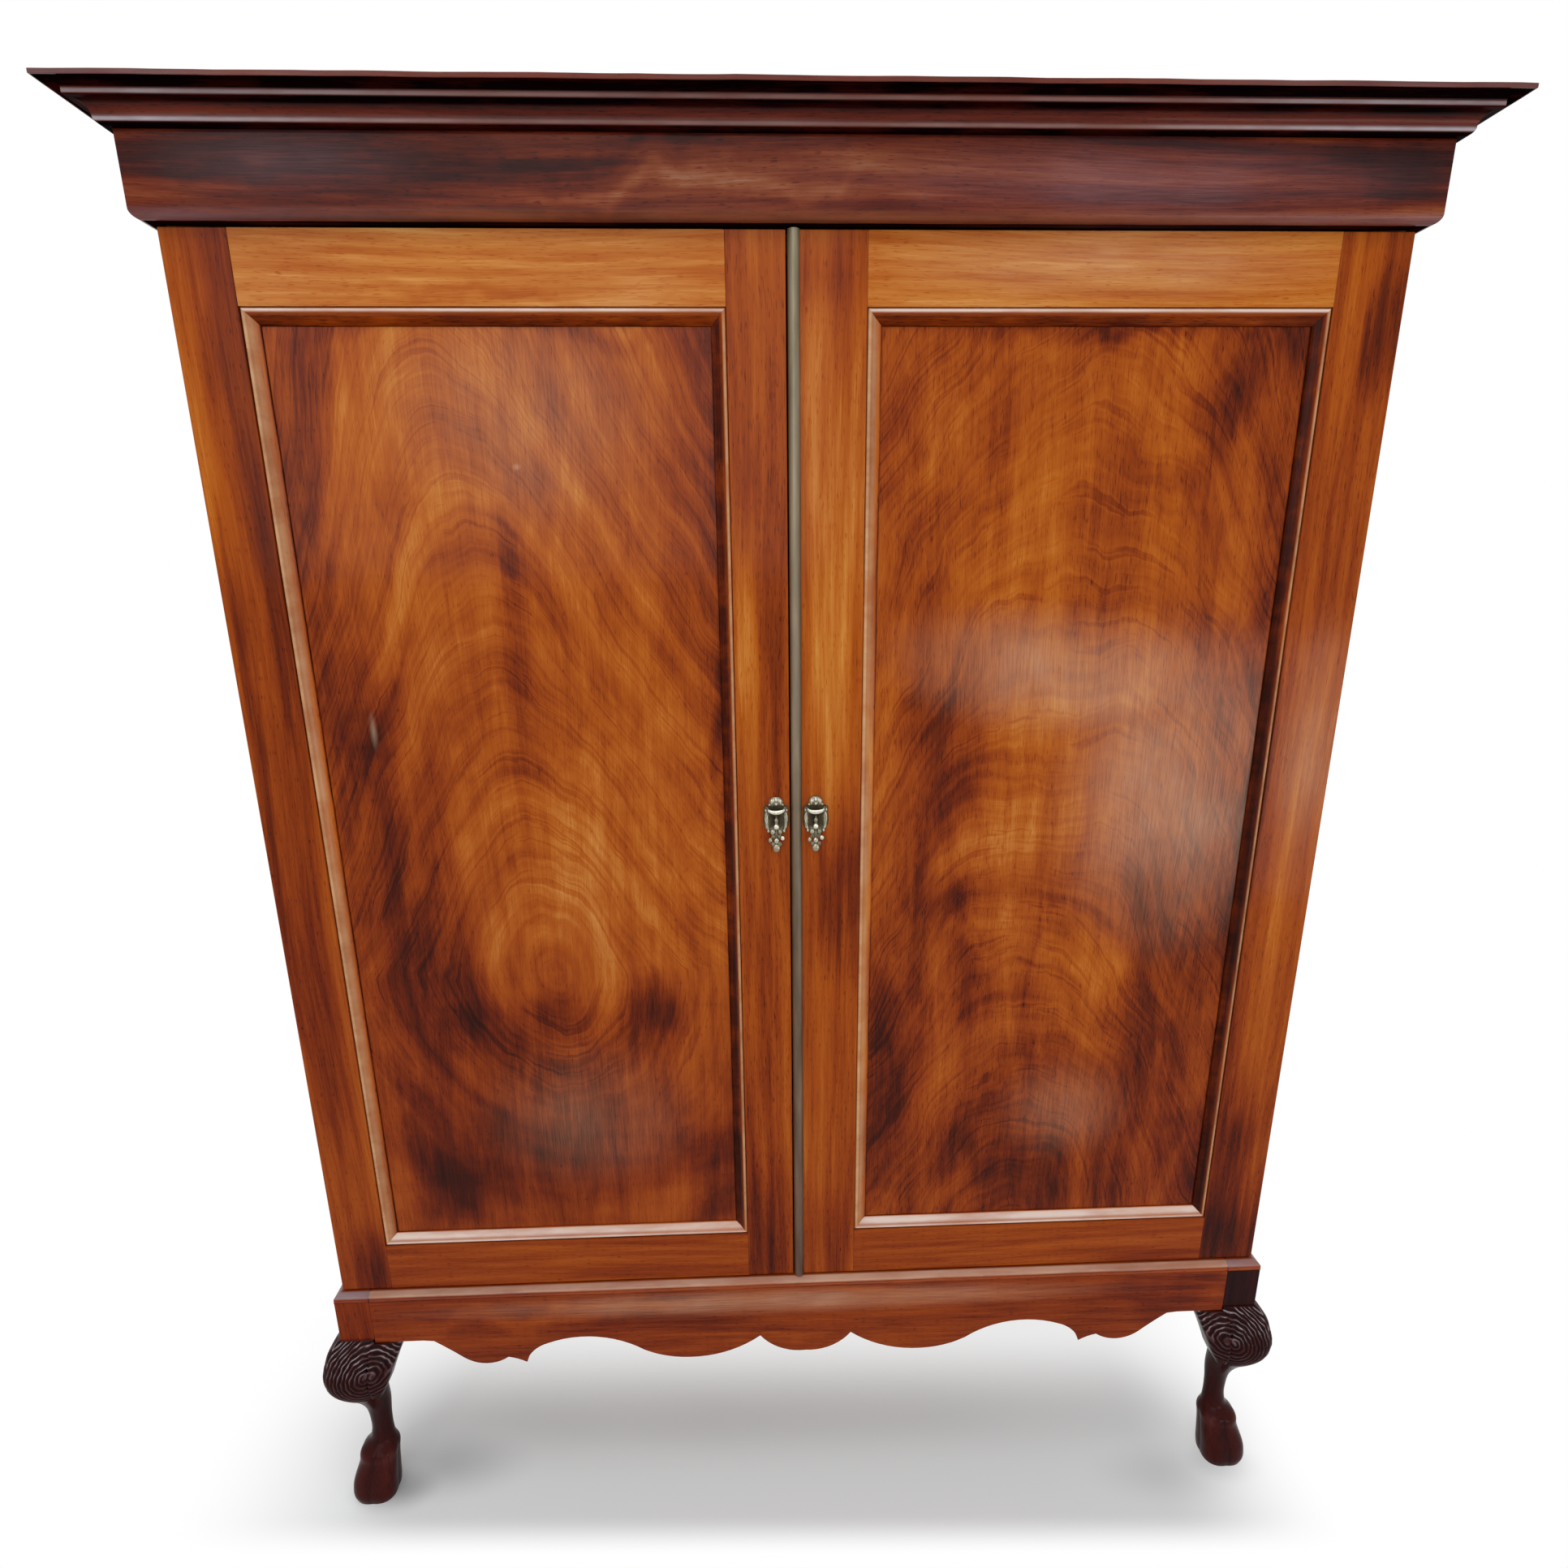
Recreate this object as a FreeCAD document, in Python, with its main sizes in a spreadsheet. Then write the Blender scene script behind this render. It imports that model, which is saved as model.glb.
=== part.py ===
"""A two door wardrobe on cabriole legs, built as a joiner builds it: a stand, a carcase, a cornice and two
framed doors with brass fittings.  Millimetres, +Z up, -Y is the front, the origin is on the floor under the
middle of the whole piece."""

import FreeCAD, Part

import os
from math import cos, radians, sin
from types import SimpleNamespace

import Sketcher

SIZES = (
    ("carcase_width", 1400, "over the two sides, and over the closed doors"),
    ("carcase_depth", 540, "front edge of the sides to the back"),
    ("board", 20, "thickness of sides, top and bottom"),
    ("back_thickness", 8, "back panels"),
    ("back_rebate", 10, "how far the back panels reach into the sides"),
    ("muntin_width", 60, "upright between the back panels"),
    ("muntin_thickness", 14, ""),
    ("shelf_thickness", 18, "hat shelf"),
    ("hat_space", 222, "from the hat shelf up to the carcase top"),
    ("shelf_setback", 30, "hat shelf behind the front edge of the sides"),
    ("batten", 20, "square battens under the hat shelf"),
    ("rail_radius", 12.5, "hanging rail"),
    ("rail_drop", 55, "hanging rail axis below the hat shelf"),
    ("rail_fit", 0.1, "hanging rail in its sockets"),
    ("cup_base", 4, "rail sockets, between side and rail"),
    ("cup_wall", 3, "round the rail"),
    ("cup_depth", 18, "how much of the rail they hold"),
    ("leg_height", 309, "floor to the bottom of the square post"),
    ("post_side", 52, "square post above each leg"),
    ("post_height", 67, ""),
    ("base_proud", 11.5, "posts and rails in front of the door faces"),
    ("rail_thickness", 22, "apron, side rails and back rail"),
    ("apron_drop", 58, "lowest scallop below the posts"),
    ("ear_width", 38, "knee blocks"),
    ("ear_drop", 97, ""),
    ("ear_thickness", 30, ""),
    ("base_mould_thickness", 14, "flat frame between stand and carcase"),
    ("base_mould_reach", 13, "its nosing in front of the door faces"),
    ("base_mould_inner", 44, "its width behind the door faces"),
    ("base_mould_edge", 6.5, "upright part of its nosing"),
    ("door_height", 1395, ""),
    ("door_thickness", 24, ""),
    ("door_gap", 1, "back of the doors to the carcase"),
    ("door_foot_gap", 2, "under the doors"),
    ("door_head_gap", 3, "over the doors"),
    ("meeting_offset", 17, "the doors meet this far left of the middle"),
    ("meeting_gap", 2, "between the two doors"),
    ("left_hinge_stile", 73, ""),
    ("left_lock_stile", 68, ""),
    ("right_lock_stile", 91, ""),
    ("right_hinge_stile", 83, ""),
    ("top_rail_width", 76, ""),
    ("bottom_rail_width", 75, ""),
    ("panel_recess", 10, "panel face behind the stile face"),
    ("panel_thickness", 8, "panel, groove and tenons"),
    ("groove_depth", 8, ""),
    ("tenon_length", 40, ""),
    ("tenon_shoulder", 12, ""),
    ("panel_mould_width", 18, "mitred moulding round each panel"),
    ("panel_mould_setback", 1, "moulding behind the stile face"),
    ("astragal_radius", 7, "half round brass bead on the meeting edge"),
    ("frieze_height", 80, ""),
    ("frieze_thickness", 24, ""),
    ("frieze_reach", 18, "frieze in front of the door faces and sides"),
    ("frieze_round", 9, "bullnose at the bottom of the frieze"),
    ("cornice_height", 32, ""),
    ("lip_reach", 64.5, "cornice lip in front of the door faces and sides"),
    ("dust_board_thickness", 8, ""),
    ("dust_board_seat", 20, "rebate of the cornice under the dust board"),
    ("block_side", 32, "glue blocks"),
    ("block_height", 60, ""),
    ("hinge_length", 96, "two lift-off hinges to a door, over both knuckles"),
    ("hinge_end_gap", 170, "door end to the nearest hinge"),
    ("leaf_thickness", 2, "hinge leaves"),
    ("leaf_inset", 2, "leaf end short of the carcase side's inner face"),
    ("knuckle_radius", 4.5, ""),
    ("knuckle_out", 4.7, "pin axis outside the carcase side"),
    ("knuckle_gap", 0.3, "between the two knuckles"),
    ("hinge_pin_radius", 2.5, ""),
    ("pin_fit", 0.05, "pins and bolts in what they run in"),
    ("handle_lift", 734, "bail axis above the door foot"),
    ("left_handle_inset", 18, "handle centre from the left door's meeting edge"),
    ("right_handle_inset", 32, "handle centre from the right door's meeting edge"),
    ("handle_half_width", 17, "half of the backplate"),
    ("handle_crown", 17, "backplate above the bail axis"),
    ("handle_tail", 37, "backplate below the bail axis"),
    ("handle_plate_thickness", 2.5, ""),
    ("lug_width", 4.5, "lugs that hold the bail"),
    ("lug_height", 6, ""),
    ("lug_lip", 3, "metal of a lug in front of the bail axis"),
    ("bail_stand", 6.5, "bail axis in front of the stile"),
    ("bail_half_span", 9.5, "middle of the bail to the middle of its ends"),
    ("bail_sag", 9, "bail axis to the middle of the bail"),
    ("bail_half_wire", 1.7, "half of the bail's thickness"),
    ("bail_pin", 1.3, "radius of the bail's pins"),
    ("bail_play", 0.3, "bail between its lugs"),
    ("drop_length", 61, "bail axis to the tip of the drop"),
    ("drop_bead", 4.4, "largest bead of the drop, out from its middle"),
    ("bolt_inset", 34, "middle of the flat bolts from the left door's meeting edge"),
    ("bolt_stand", 12, "middle of the flat bolts behind the door"),
    ("bolt_width", 12, ""),
    ("bolt_thickness", 6, ""),
    ("bolt_throw", 17, ""),
    ("bolt_tip_gap", 4, "drawn bolt to the board it locks into"),
    ("bolt_plate_width", 26, ""),
    ("bolt_plate_length", 76, ""),
    ("bolt_plate_thickness", 2, ""),
    ("bolt_bridge_length", 14, "the two staples that a bolt slides in"),
    ("bolt_wall", 3, "metal of the staples round the bolt"),
    ("bolt_knob_radius", 3, ""),
    ("bolt_knob_length", 10, ""),
    ("keeper_side", 24, ""),
    ("keeper_thickness", 1.5, ""),
    ("keeper_play", 1, "bolt in its keeper and board"),
    ("lock_lift", 690, "lock centre above the door foot"),
    ("lock_width", 62, ""),
    ("lock_height", 56, ""),
    ("lock_depth", 15, ""),
    ("lock_wall", 3, ""),
    ("lock_edge_gap", 1, "lock case from the right door's meeting edge"),
    ("lock_bolt_height", 16, ""),
    ("lock_bolt_length", 40, ""),
    ("lock_play", 0.3, "lock bolt in its case"),
    ("strike_width", 22, ""),
    ("strike_wall", 4, ""),
    ("strike_play", 1.5, "lock bolt in the strike"),
)

# A leg from the post down: a square with its corners taken off.  Shares of the leg's height, then shares of
# the post's side: how far the middle stands out to the corner, and half the width; then the part of each side
# that stays flat, where 0.41 is a true octagon.  Every second row is the middle of an arc.
LEG_SHARES = (
    (1.000, 0.015, 0.515, 0.96),
    (0.950, 0.190, 0.640, 0.72),
    (0.885, 0.270, 0.735, 0.58),
    (0.800, 0.335, 0.790, 0.50),
    (0.730, 0.290, 0.765, 0.48),
    (0.672, 0.205, 0.650, 0.46),
    (0.625, 0.100, 0.535, 0.44),
    (0.550, -0.020, 0.390, 0.42),
    (0.430, -0.060, 0.260, 0.41),
    (0.320, -0.045, 0.275, 0.41),
    (0.225, 0.080, 0.430, 0.45),
    (0.100, 0.220, 0.680, 0.48),
    (0.000, 0.270, 0.690, 0.46),
)

# A block that is longer than any leg is deep, as a share of the post's side.
BLANK_SHARE = 4

# The cornice in section, from the face of the frieze: shares of its reach over the frieze and of its height.
# A bead, a cavetto, a fillet, an ovolo and the thin lip.
CORNICE_FACE_SHARES = (
    ("line", 0.14, 0.00),
    ("arc", 0.225, 0.07, 0.26, 0.20),
    ("arc", 0.32, 0.43, 0.47, 0.56),
    ("line", 0.61, 0.56),
    ("line", 0.61, 0.76),
    ("arc", 0.67, 0.86, 0.80, 0.88),
    ("line", 0.86, 0.88),
    ("line", 1.00, 0.85),
    ("line", 1.00, 1.00),
)

# The moulding round a panel in section: shares of its width from the panel out to the frame, and of its
# height over the panel.  A bead next to the frame, then a hollow that runs out on the panel.
PANEL_MOULD_SHARES = (
    ("line", -1.00, 0.20),
    ("arc", -0.62, 0.42, -0.34, 0.84),
    ("arc", -0.18, 1.00, -0.06, 0.84),
    ("line", 0.00, 0.70),
)

# One half of the apron's lower edge, from the middle out: shares of half its length, and of its drop.
APRON_EDGE_SHARES = (
    ("line", 0.000, 0.914),
    ("arc", 0.057, 0.820, 0.107, 0.380),
    ("arc", 0.180, 0.830, 0.273, 1.000),
    ("arc", 0.330, 0.920, 0.381, 0.700),
    ("arc", 0.500, 0.200, 0.604, 0.360),
    ("arc", 0.632, 0.520, 0.650, 0.740),
    ("line", 0.657, 0.950),
    ("arc", 0.676, 0.840, 0.699, 0.760),
    ("arc", 0.752, 0.940, 0.800, 0.740),
    ("arc", 0.832, 0.440, 0.866, 0.150),
    ("line", 0.890, 0.120),
    ("line", 1.000, 0.120),
)

# A knee block in outline, from the post down to where it meets the leg: shares of its width and drop.
KNEE_BLOCK_SHARES = (
    ("line", 1.00, 0.00),
    ("line", 0.92, 0.16),
    ("arc", 0.55, 0.50, 0.28, 0.78),
    ("line", 0.00, 1.00),
)

# The rounded edge of the base moulding: shares of its reach and of its thickness.
BASE_NOSING_SHARES = (0.62, 0.84, 0.10)

# How far the middle of a quarter round stays in from its square corner, as a share of its radius.
QUARTER_ROUND_SHARE = 0.293

# Half of a handle's backplate, clockwise from the top: shares of its half width, and of its crown above the
# bail axis or its tail below.
HANDLE_CROWN_SHARES = (
    ("arc", 0.42, 0.90, 0.62, 0.62),
    ("line", 0.56, 0.30),
    ("arc", 0.80, 0.34, 1.00, 0.00),
)
HANDLE_TAIL_SHARES = (
    ("line", 0.86, 0.20),
    ("line", 0.86, 0.68),
    ("arc", 0.56, 0.92, 0.00, 1.00),
)
HANDLE_SLOT_SHARES = (0.34, 0.60, 0.34, 0.66)

# Beads of a drop, down from the bail: shares of its length where a bead ends, and of its largest bead for
# its swell.  Between two beads the neck has its own share.
DROP_BEAD_SHARES = ((0.42, 0.85), (0.60, 0.70), (0.80, 1.00), (1.00, 0.90))
DROP_NECK_SHARE = 0.40

# Hinges stand at these shares of the free length of a door.
HINGE_SHARES = (0.0, 1.0)


class Length:
    """A size: its value now, and the formula on the sheet that gives it."""

    def __init__(self, value, text):
        self.value = value
        self.text = text

    def combined(self, other, sign, value):
        right = other.text if isinstance(other, Length) else str(other)
        return Length(value, "(" + self.text + " " + sign + " " + right + ")")

    def __add__(self, other):
        return self.combined(other, "+", self.value + number(other))

    def __sub__(self, other):
        return self.combined(other, "-", self.value - number(other))

    def __mul__(self, other):
        return self.combined(other, "*", self.value * number(other))

    def __truediv__(self, other):
        return self.combined(other, "/", self.value / number(other))

    def __neg__(self):
        return Length(-self.value, "(0 - " + self.text + ")")


def number(size):
    """The plain number of a size or of a share."""
    return size.value if isinstance(size, Length) else float(size)


doc = FreeCAD.newDocument("Wardrobe")
sheet = doc.addObject("Spreadsheet::Sheet", "Sizes")
s = SimpleNamespace()
for row, (alias, millimetres, note) in enumerate(SIZES, start=1):
    sheet.set("A" + str(row), alias)
    sheet.set("B" + str(row), str(millimetres))
    sheet.set("C" + str(row), note)
    sheet.setAlias("B" + str(row), alias)
doc.recompute()
for alias, millimetres, note in SIZES:
    setattr(s, alias, Length(float(sheet.get(alias)), "Sizes." + alias))

# Levels and planes that pieces share
ZERO = s.board * 0
overall_depth = s.lip_reach + s.door_thickness + s.door_gap + s.carcase_depth
back = overall_depth / 2
door_face = s.lip_reach - back
door_back = door_face + s.door_thickness
carcase_front = door_back + s.door_gap
half_carcase = s.carcase_width / 2
inside_half = half_carcase - s.board
rail_top = s.leg_height + s.post_height
carcase_floor = rail_top + s.base_mould_thickness
door_foot = carcase_floor + s.door_foot_gap
door_head = door_foot + s.door_height
carcase_head = door_head + s.door_head_gap
frieze_top = carcase_head + s.frieze_height
crown = frieze_top + s.cornice_height
post_out = half_carcase + s.base_proud - s.post_side / 2
front_post = door_face - s.base_proud + s.post_side / 2
rear_post = back - s.post_side / 2
post_inner = post_out - s.post_side / 2
left_meeting = -s.meeting_offset - s.meeting_gap / 2
right_meeting = -s.meeting_offset + s.meeting_gap / 2
inside_back = back - s.back_thickness
hinge_line = door_back + s.door_gap / 2
OVERRUN = s.board

nodes = {}


def keep(obj, label):
    """Names a finished sub-part; its label is the name of its file."""
    obj.Label = label
    nodes[label] = obj
    return obj


def bind(obj, prop, size):
    if isinstance(size, Length):
        obj.setExpression(prop, size.text)
    else:
        setattr(obj, prop, size)


def put(obj, x=ZERO, y=ZERO, z=ZERO):
    """Binds an object's place to the sheet."""
    bind(obj, "Placement.Base.x", x)
    bind(obj, "Placement.Base.y", y)
    bind(obj, "Placement.Base.z", z)
    return obj


def turn(obj, axis, degrees):
    obj.Placement = FreeCAD.Placement(FreeCAD.Vector(), FreeCAD.Rotation(FreeCAD.Vector(*axis), degrees))
    return obj


def box(x_low, x_high, y_low, y_high, z_low, z_high):
    """A straight board between six planes."""
    board = doc.addObject("Part::Box", "Board")
    bind(board, "Length", x_high - x_low)
    bind(board, "Width", y_high - y_low)
    bind(board, "Height", z_high - z_low)
    return put(board, x_low, y_low, z_low)


def rod(radius, length, x, y, z, axis="z"):
    """A cylinder that starts at x, y, z and runs along one axis."""
    cylinder = doc.addObject("Part::Cylinder", "Rod")
    bind(cylinder, "Radius", radius)
    bind(cylinder, "Height", length)
    if axis == "x":
        turn(cylinder, (0, 1, 0), 90)
    if axis == "y":
        turn(cylinder, (1, 0, 0), -90)
    return put(cylinder, x, y, z)


def fused(pieces):
    fuse = doc.addObject("Part::MultiFuse", "Joined")
    fuse.Shapes = pieces
    return fuse


def cut(base, tools):
    """A piece with one or more others taken out of it."""
    result = doc.addObject("Part::Cut", "Cut")
    result.Base = base
    result.Tool = tools[0] if len(tools) == 1 else fused(tools)
    return result


def group(pieces):
    """Like pieces that share a file, each its own solid."""
    compound = doc.addObject("Part::Compound", "Group")
    compound.Links = pieces
    return compound


def new_body(name):
    return doc.addObject("PartDesign::Body", name)


def sketch_on(body, role, offset=None):
    """A sketch on one of the body's own origin planes, moved along its normal."""
    sketch = body.newObject("Sketcher::SketchObject", "Outline")
    plane = [feature for feature in body.Origin.OriginFeatures if feature.Role == role][0]
    sketch.AttachmentSupport = [(plane, "")]
    sketch.MapMode = "FlatFace"
    if offset is not None:
        sketch.setExpression("AttachmentOffset.Base.z", offset.text)
    return sketch


def tie(sketch, geometry, point, x, y):
    """Binds the place of one sketch point to the sheet."""
    for kind, size in (("DistanceX", x), ("DistanceY", y)):
        index = sketch.addConstraint(Sketcher.Constraint(kind, -1, 1, geometry, point, number(size)))
        if isinstance(size, Length):
            sketch.setExpression("Constraints[" + str(index) + "]", size.text)


def vector(x, y):
    return FreeCAD.Vector(number(x), number(y), 0)


def draw(sketch, path):
    """A closed outline.  Each step is ("line", x, y) or ("arc", x and y of a point on it, x, y) and starts
    where the step before it ends; the first starts where the last ends."""
    ends = [step[-2:] for step in path]
    first_points = []
    last_points = []
    for index, step in enumerate(path):
        start = vector(*ends[index - 1])
        end = vector(*ends[index])
        if step[0] == "line":
            geometry = sketch.addGeometry(Part.LineSegment(start, end), False)
            first_points.append((geometry, 1))
            last_points.append((geometry, 2))
            continue
        middle = vector(step[1], step[2])
        counter_clockwise = (middle - start).cross(end - start).z > 0
        if counter_clockwise:
            geometry = sketch.addGeometry(Part.Arc(start, middle, end), False)
        else:
            geometry = sketch.addGeometry(Part.Arc(end, middle, start), False)
        first_points.append((geometry, 1 if counter_clockwise else 2))
        last_points.append((geometry, 2 if counter_clockwise else 1))
        on_arc = sketch.addGeometry(Part.Point(middle), True)
        sketch.addConstraint(Sketcher.Constraint("PointOnObject", on_arc, 1, geometry))
        tie(sketch, on_arc, 1, step[1], step[2])
    for index in range(len(path)):
        joint = first_points[index] + last_points[index - 1]
        sketch.addConstraint(Sketcher.Constraint("Coincident", *joint))
        tie(sketch, *last_points[index], *ends[index])
    return sketch


def pad(body, sketch, length):
    feature = body.newObject("PartDesign::Pad", "Pad")
    feature.Profile = sketch
    bind(feature, "Length", length)
    return feature


def pocket_through(body, sketch):
    """Cuts a sketch through the whole body, to both sides of its plane."""
    feature = body.newObject("PartDesign::Pocket", "Pocket")
    feature.Profile = sketch
    feature.Type = "ThroughAll"
    feature.SideType = "Symmetric"
    return feature


def scaled(steps, x_size, y_size, x_start=ZERO, y_start=ZERO):
    """Turns steps written in shares into steps written in sizes."""
    result = []
    for step in steps:
        places = [step[0]]
        for index in range(1, len(step), 2):
            places.append(x_start + x_size * step[index])
            places.append(y_start + y_size * step[index + 1])
        result.append(tuple(places))
    return result


def mirrored_back(steps):
    """The same outline on the other side of the Y axis, run the other way."""
    result = []
    for index in range(len(steps) - 1, 0, -1):
        step = steps[index]
        middle = [-step[1], step[2]] if step[0] == "arc" else []
        end = [-steps[index - 1][-2], steps[index - 1][-1]]
        result.append((step[0], *middle, *end))
    return result


def mitred_strip(name, section, outer, inner, start, start_mitred, end, end_mitred):
    """A moulding along X with its face towards -Y.  The section is drawn with its first coordinate outward
    from the line that the mitres are measured on; start and end are where the strip ends on that line.
    outer and inner are the section's reach to the two sides of the line."""
    body = new_body(name)
    low = start - outer if start_mitred else start
    high = end + outer if end_mitred else end
    outline = sketch_on(body, "YZ_Plane", low)
    flipped = []
    for step in section:
        signs = [-value if index % 2 == 0 else value for index, value in enumerate(step[1:])]
        flipped.append((step[0], *signs))
    draw(outline, flipped)
    pad(body, outline, high - low)
    for mitred, place, way in ((start_mitred, start, -1), (end_mitred, end, 1)):
        if mitred:
            corner = sketch_on(body, "XY_Plane")
            tip = place + (outer + OVERRUN) * way
            root = place - (inner + OVERRUN) * way
            draw(corner, [
                ("line", tip, -outer - OVERRUN),
                ("line", tip, inner + OVERRUN),
                ("line", root, inner + OVERRUN),
            ])
            pocket_through(body, corner)
    return body


def surround(name, section, outer, inner):
    """Front, left and right strips round the top or foot of the carcase: mitred at the front corners, square
    at the back."""
    front = mitred_strip(name + "_front", section, outer, inner, -half_carcase, True, half_carcase, True)
    put(front, ZERO, door_face, ZERO)
    right = mitred_strip(name + "_right", section, outer, inner, door_face, True, back, False)
    turn(right, (0, 0, 1), 90)
    put(right, half_carcase, ZERO, ZERO)
    left = mitred_strip(name + "_left", section, outer, inner, -back, False, -door_face, True)
    turn(left, (0, 0, 1), -90)
    put(left, -half_carcase, ZERO, ZERO)
    return front, left, right


# Legs

def sawn_blank(side, turned, length):
    """A block of some length sawn to the leg's outline as it shows from one way round: turned is how far the
    leg is turned on its axis for the cut.  The cuts at half a right angle take its corners off."""
    along = side * cos(radians(turned)) - sin(radians(turned))
    body = new_body("Blank")
    middles = []
    halves = []
    for height_share, lean_share, half_share, flat_share in LEG_SHARES:
        reach = half_share
        if turned % 90:
            reach = half_share * (1 + flat_share) * cos(radians(45))
        middles.append((s.post_side * (lean_share * along), s.leg_height * height_share))
        halves.append(s.post_side * reach)
    right = [(x + half, z) for (x, z), half in zip(middles, halves)]
    left = [(x - half, z) for (x, z), half in zip(middles, halves)]
    steps = [("arc", *right[index - 1], *right[index]) for index in range(2, len(right), 2)]
    steps.append(("line", *left[-1]))
    steps += [("arc", *left[index + 1], *left[index]) for index in range(len(left) - 3, -1, -2)]
    steps.append(("line", *right[0]))
    pad(body, draw(sketch_on(body, "XZ_Plane"), steps), length).Midplane = True
    turn(body, (0, 0, 1), turned)
    return body


def front_leg(label, side):
    """A cabriole leg that leans out over its corner: what is left of a block when it has been sawn to its
    outline from the front, from the side and across both corners."""
    cuts = [sawn_blank(side, turned, s.post_side * BLANK_SHARE) for turned in (0, 45, 90, 135)]
    sweep = doc.addObject("Part::MultiCommon", "Sweep")
    sweep.Shapes = [put(blank, post_out * side, front_post) for blank in cuts]
    return keep(fused([sweep, post(side, front_post)]), label)


def post(side, depth):
    """The square post above a leg."""
    half = s.post_side / 2
    middle = post_out * side
    return box(middle - half, middle + half, depth - half, depth + half, s.leg_height, rail_top)


def rear_leg(label, side):
    """The same sweep sawn to the side alone, so that the back stays flat against a wall."""
    blank = put(sawn_blank(side, 0, s.post_side), post_out * side, rear_post)
    return keep(fused([blank, post(side, rear_post)]), label)


def knee_block(name, leg, side, along_front):
    """The carved block that leads from a knee to the rail beside it, cut to seat against the leg."""
    body = new_body(name)
    outline = sketch_on(body, "XZ_Plane")
    seat = s.post_side / 4
    edge = scaled(KNEE_BLOCK_SHARES, s.ear_width, -s.ear_drop)
    draw(outline, [("line", -seat, ZERO), *edge, ("line", -seat, -s.ear_drop)])
    pad(body, outline, s.ear_thickness)
    lift = s.leg_height - s.apron_drop * APRON_EDGE_SHARES[-1][-1]
    outer = -s.base_proud + s.ear_thickness
    if along_front:
        turn(body, (0, 0, 1), 0 if side < 0 else 180)
        depth = door_face + outer if side < 0 else door_face - s.base_proud
        put(body, post_inner * side, depth, lift)
    else:
        turn(body, (0, 0, 1), 90)
        depth = half_carcase + s.base_proud
        x = depth - s.ear_thickness if side > 0 else -depth
        put(body, x, front_post + s.post_side / 2, lift)
    return cut(body, [leg])


front_legs = ((front_leg("leg_front_left", -1), -1), (front_leg("leg_front_right", 1), 1))
rear_leg("leg_rear_left", -1)
rear_leg("leg_rear_right", 1)
keep(group([knee_block("FrontEar", leg, side, True) for leg, side in front_legs]), "knee_blocks_front")
keep(group([knee_block("SideEar", leg, side, False) for leg, side in front_legs]), "knee_blocks_side")

# Apron and rails of the stand

apron = new_body("Apron")
half_edge = scaled(APRON_EDGE_SHARES, post_inner, -s.apron_drop)
apron_outline = sketch_on(apron, "XZ_Plane")
draw(apron_outline, half_edge[1:] + [
    ("line", post_inner, s.post_height),
    ("line", -post_inner, s.post_height),
    ("line", -post_inner, half_edge[-1][-1]),
] + mirrored_back(half_edge))
pad(apron, apron_outline, s.rail_thickness)
put(apron, ZERO, door_face - s.base_proud + s.rail_thickness, s.leg_height)
keep(apron, "front_apron")

rail_face = half_carcase + s.base_proud
rail_back = rail_face - s.rail_thickness
side_start = front_post + s.post_side / 2
side_end = rear_post - s.post_side / 2
rail_left = box(-rail_face, -rail_back, side_start, side_end, s.leg_height, rail_top)
rail_right = box(rail_back, rail_face, side_start, side_end, s.leg_height, rail_top)
keep(rail_left, "side_rail_left")
keep(rail_right, "side_rail_right")
keep(box(-post_inner, post_inner, back - s.rail_thickness, back, s.leg_height, rail_top), "back_rail")

# Base moulding, frieze and cornice

nosing_flat = rail_top + s.base_mould_edge
nosing_out, nosing_up, nosing_end = BASE_NOSING_SHARES
base_section = [
    ("line", s.base_mould_reach, rail_top),
    ("line", s.base_mould_reach, nosing_flat),
    ("arc", s.base_mould_reach * nosing_out, rail_top + s.base_mould_thickness * nosing_up,
     s.base_mould_reach * nosing_end, carcase_floor),
    ("line", -s.base_mould_inner, carcase_floor),
    ("line", -s.base_mould_inner, rail_top),
]
base_strips = surround("BaseMoulding", base_section, s.base_mould_reach, s.base_mould_inner)
for strip, side in zip(base_strips, ("front", "left", "right")):
    keep(strip, "base_moulding_" + side)

frieze_inner = s.frieze_thickness - s.frieze_reach
quarter = s.frieze_round * QUARTER_ROUND_SHARE
frieze_section = [
    ("line", s.frieze_reach - s.frieze_round, carcase_head),
    ("arc", s.frieze_reach - quarter, carcase_head + quarter, s.frieze_reach, carcase_head + s.frieze_round),
    ("line", s.frieze_reach, frieze_top),
    ("line", -frieze_inner, frieze_top),
    ("line", -frieze_inner, carcase_head),
]
for strip, side in zip(surround("Frieze", frieze_section, s.frieze_reach, frieze_inner),
                       ("front", "left", "right")):
    keep(strip, "frieze_" + side)

cornice_face = scaled(CORNICE_FACE_SHARES, s.lip_reach - s.frieze_reach, s.cornice_height,
                      s.frieze_reach, frieze_top)
dust_seat = crown - s.dust_board_thickness
dust_edge = s.dust_board_seat - frieze_inner
cornice_section = cornice_face + [
    ("line", dust_edge, crown),
    ("line", dust_edge, dust_seat),
    ("line", -frieze_inner, dust_seat),
    ("line", -frieze_inner, frieze_top),
]
for strip, side in zip(surround("Cornice", cornice_section, s.lip_reach, frieze_inner),
                       ("front", "left", "right")):
    keep(strip, "cornice_" + side)

frieze_inside = half_carcase - frieze_inner
keep(box(-frieze_inside, frieze_inside, back - s.board, back, carcase_head, dust_seat), "frieze_back")
keep(box(-half_carcase - dust_edge, half_carcase + dust_edge, door_face - dust_edge, back,
         dust_seat, crown), "dust_board")


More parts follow.
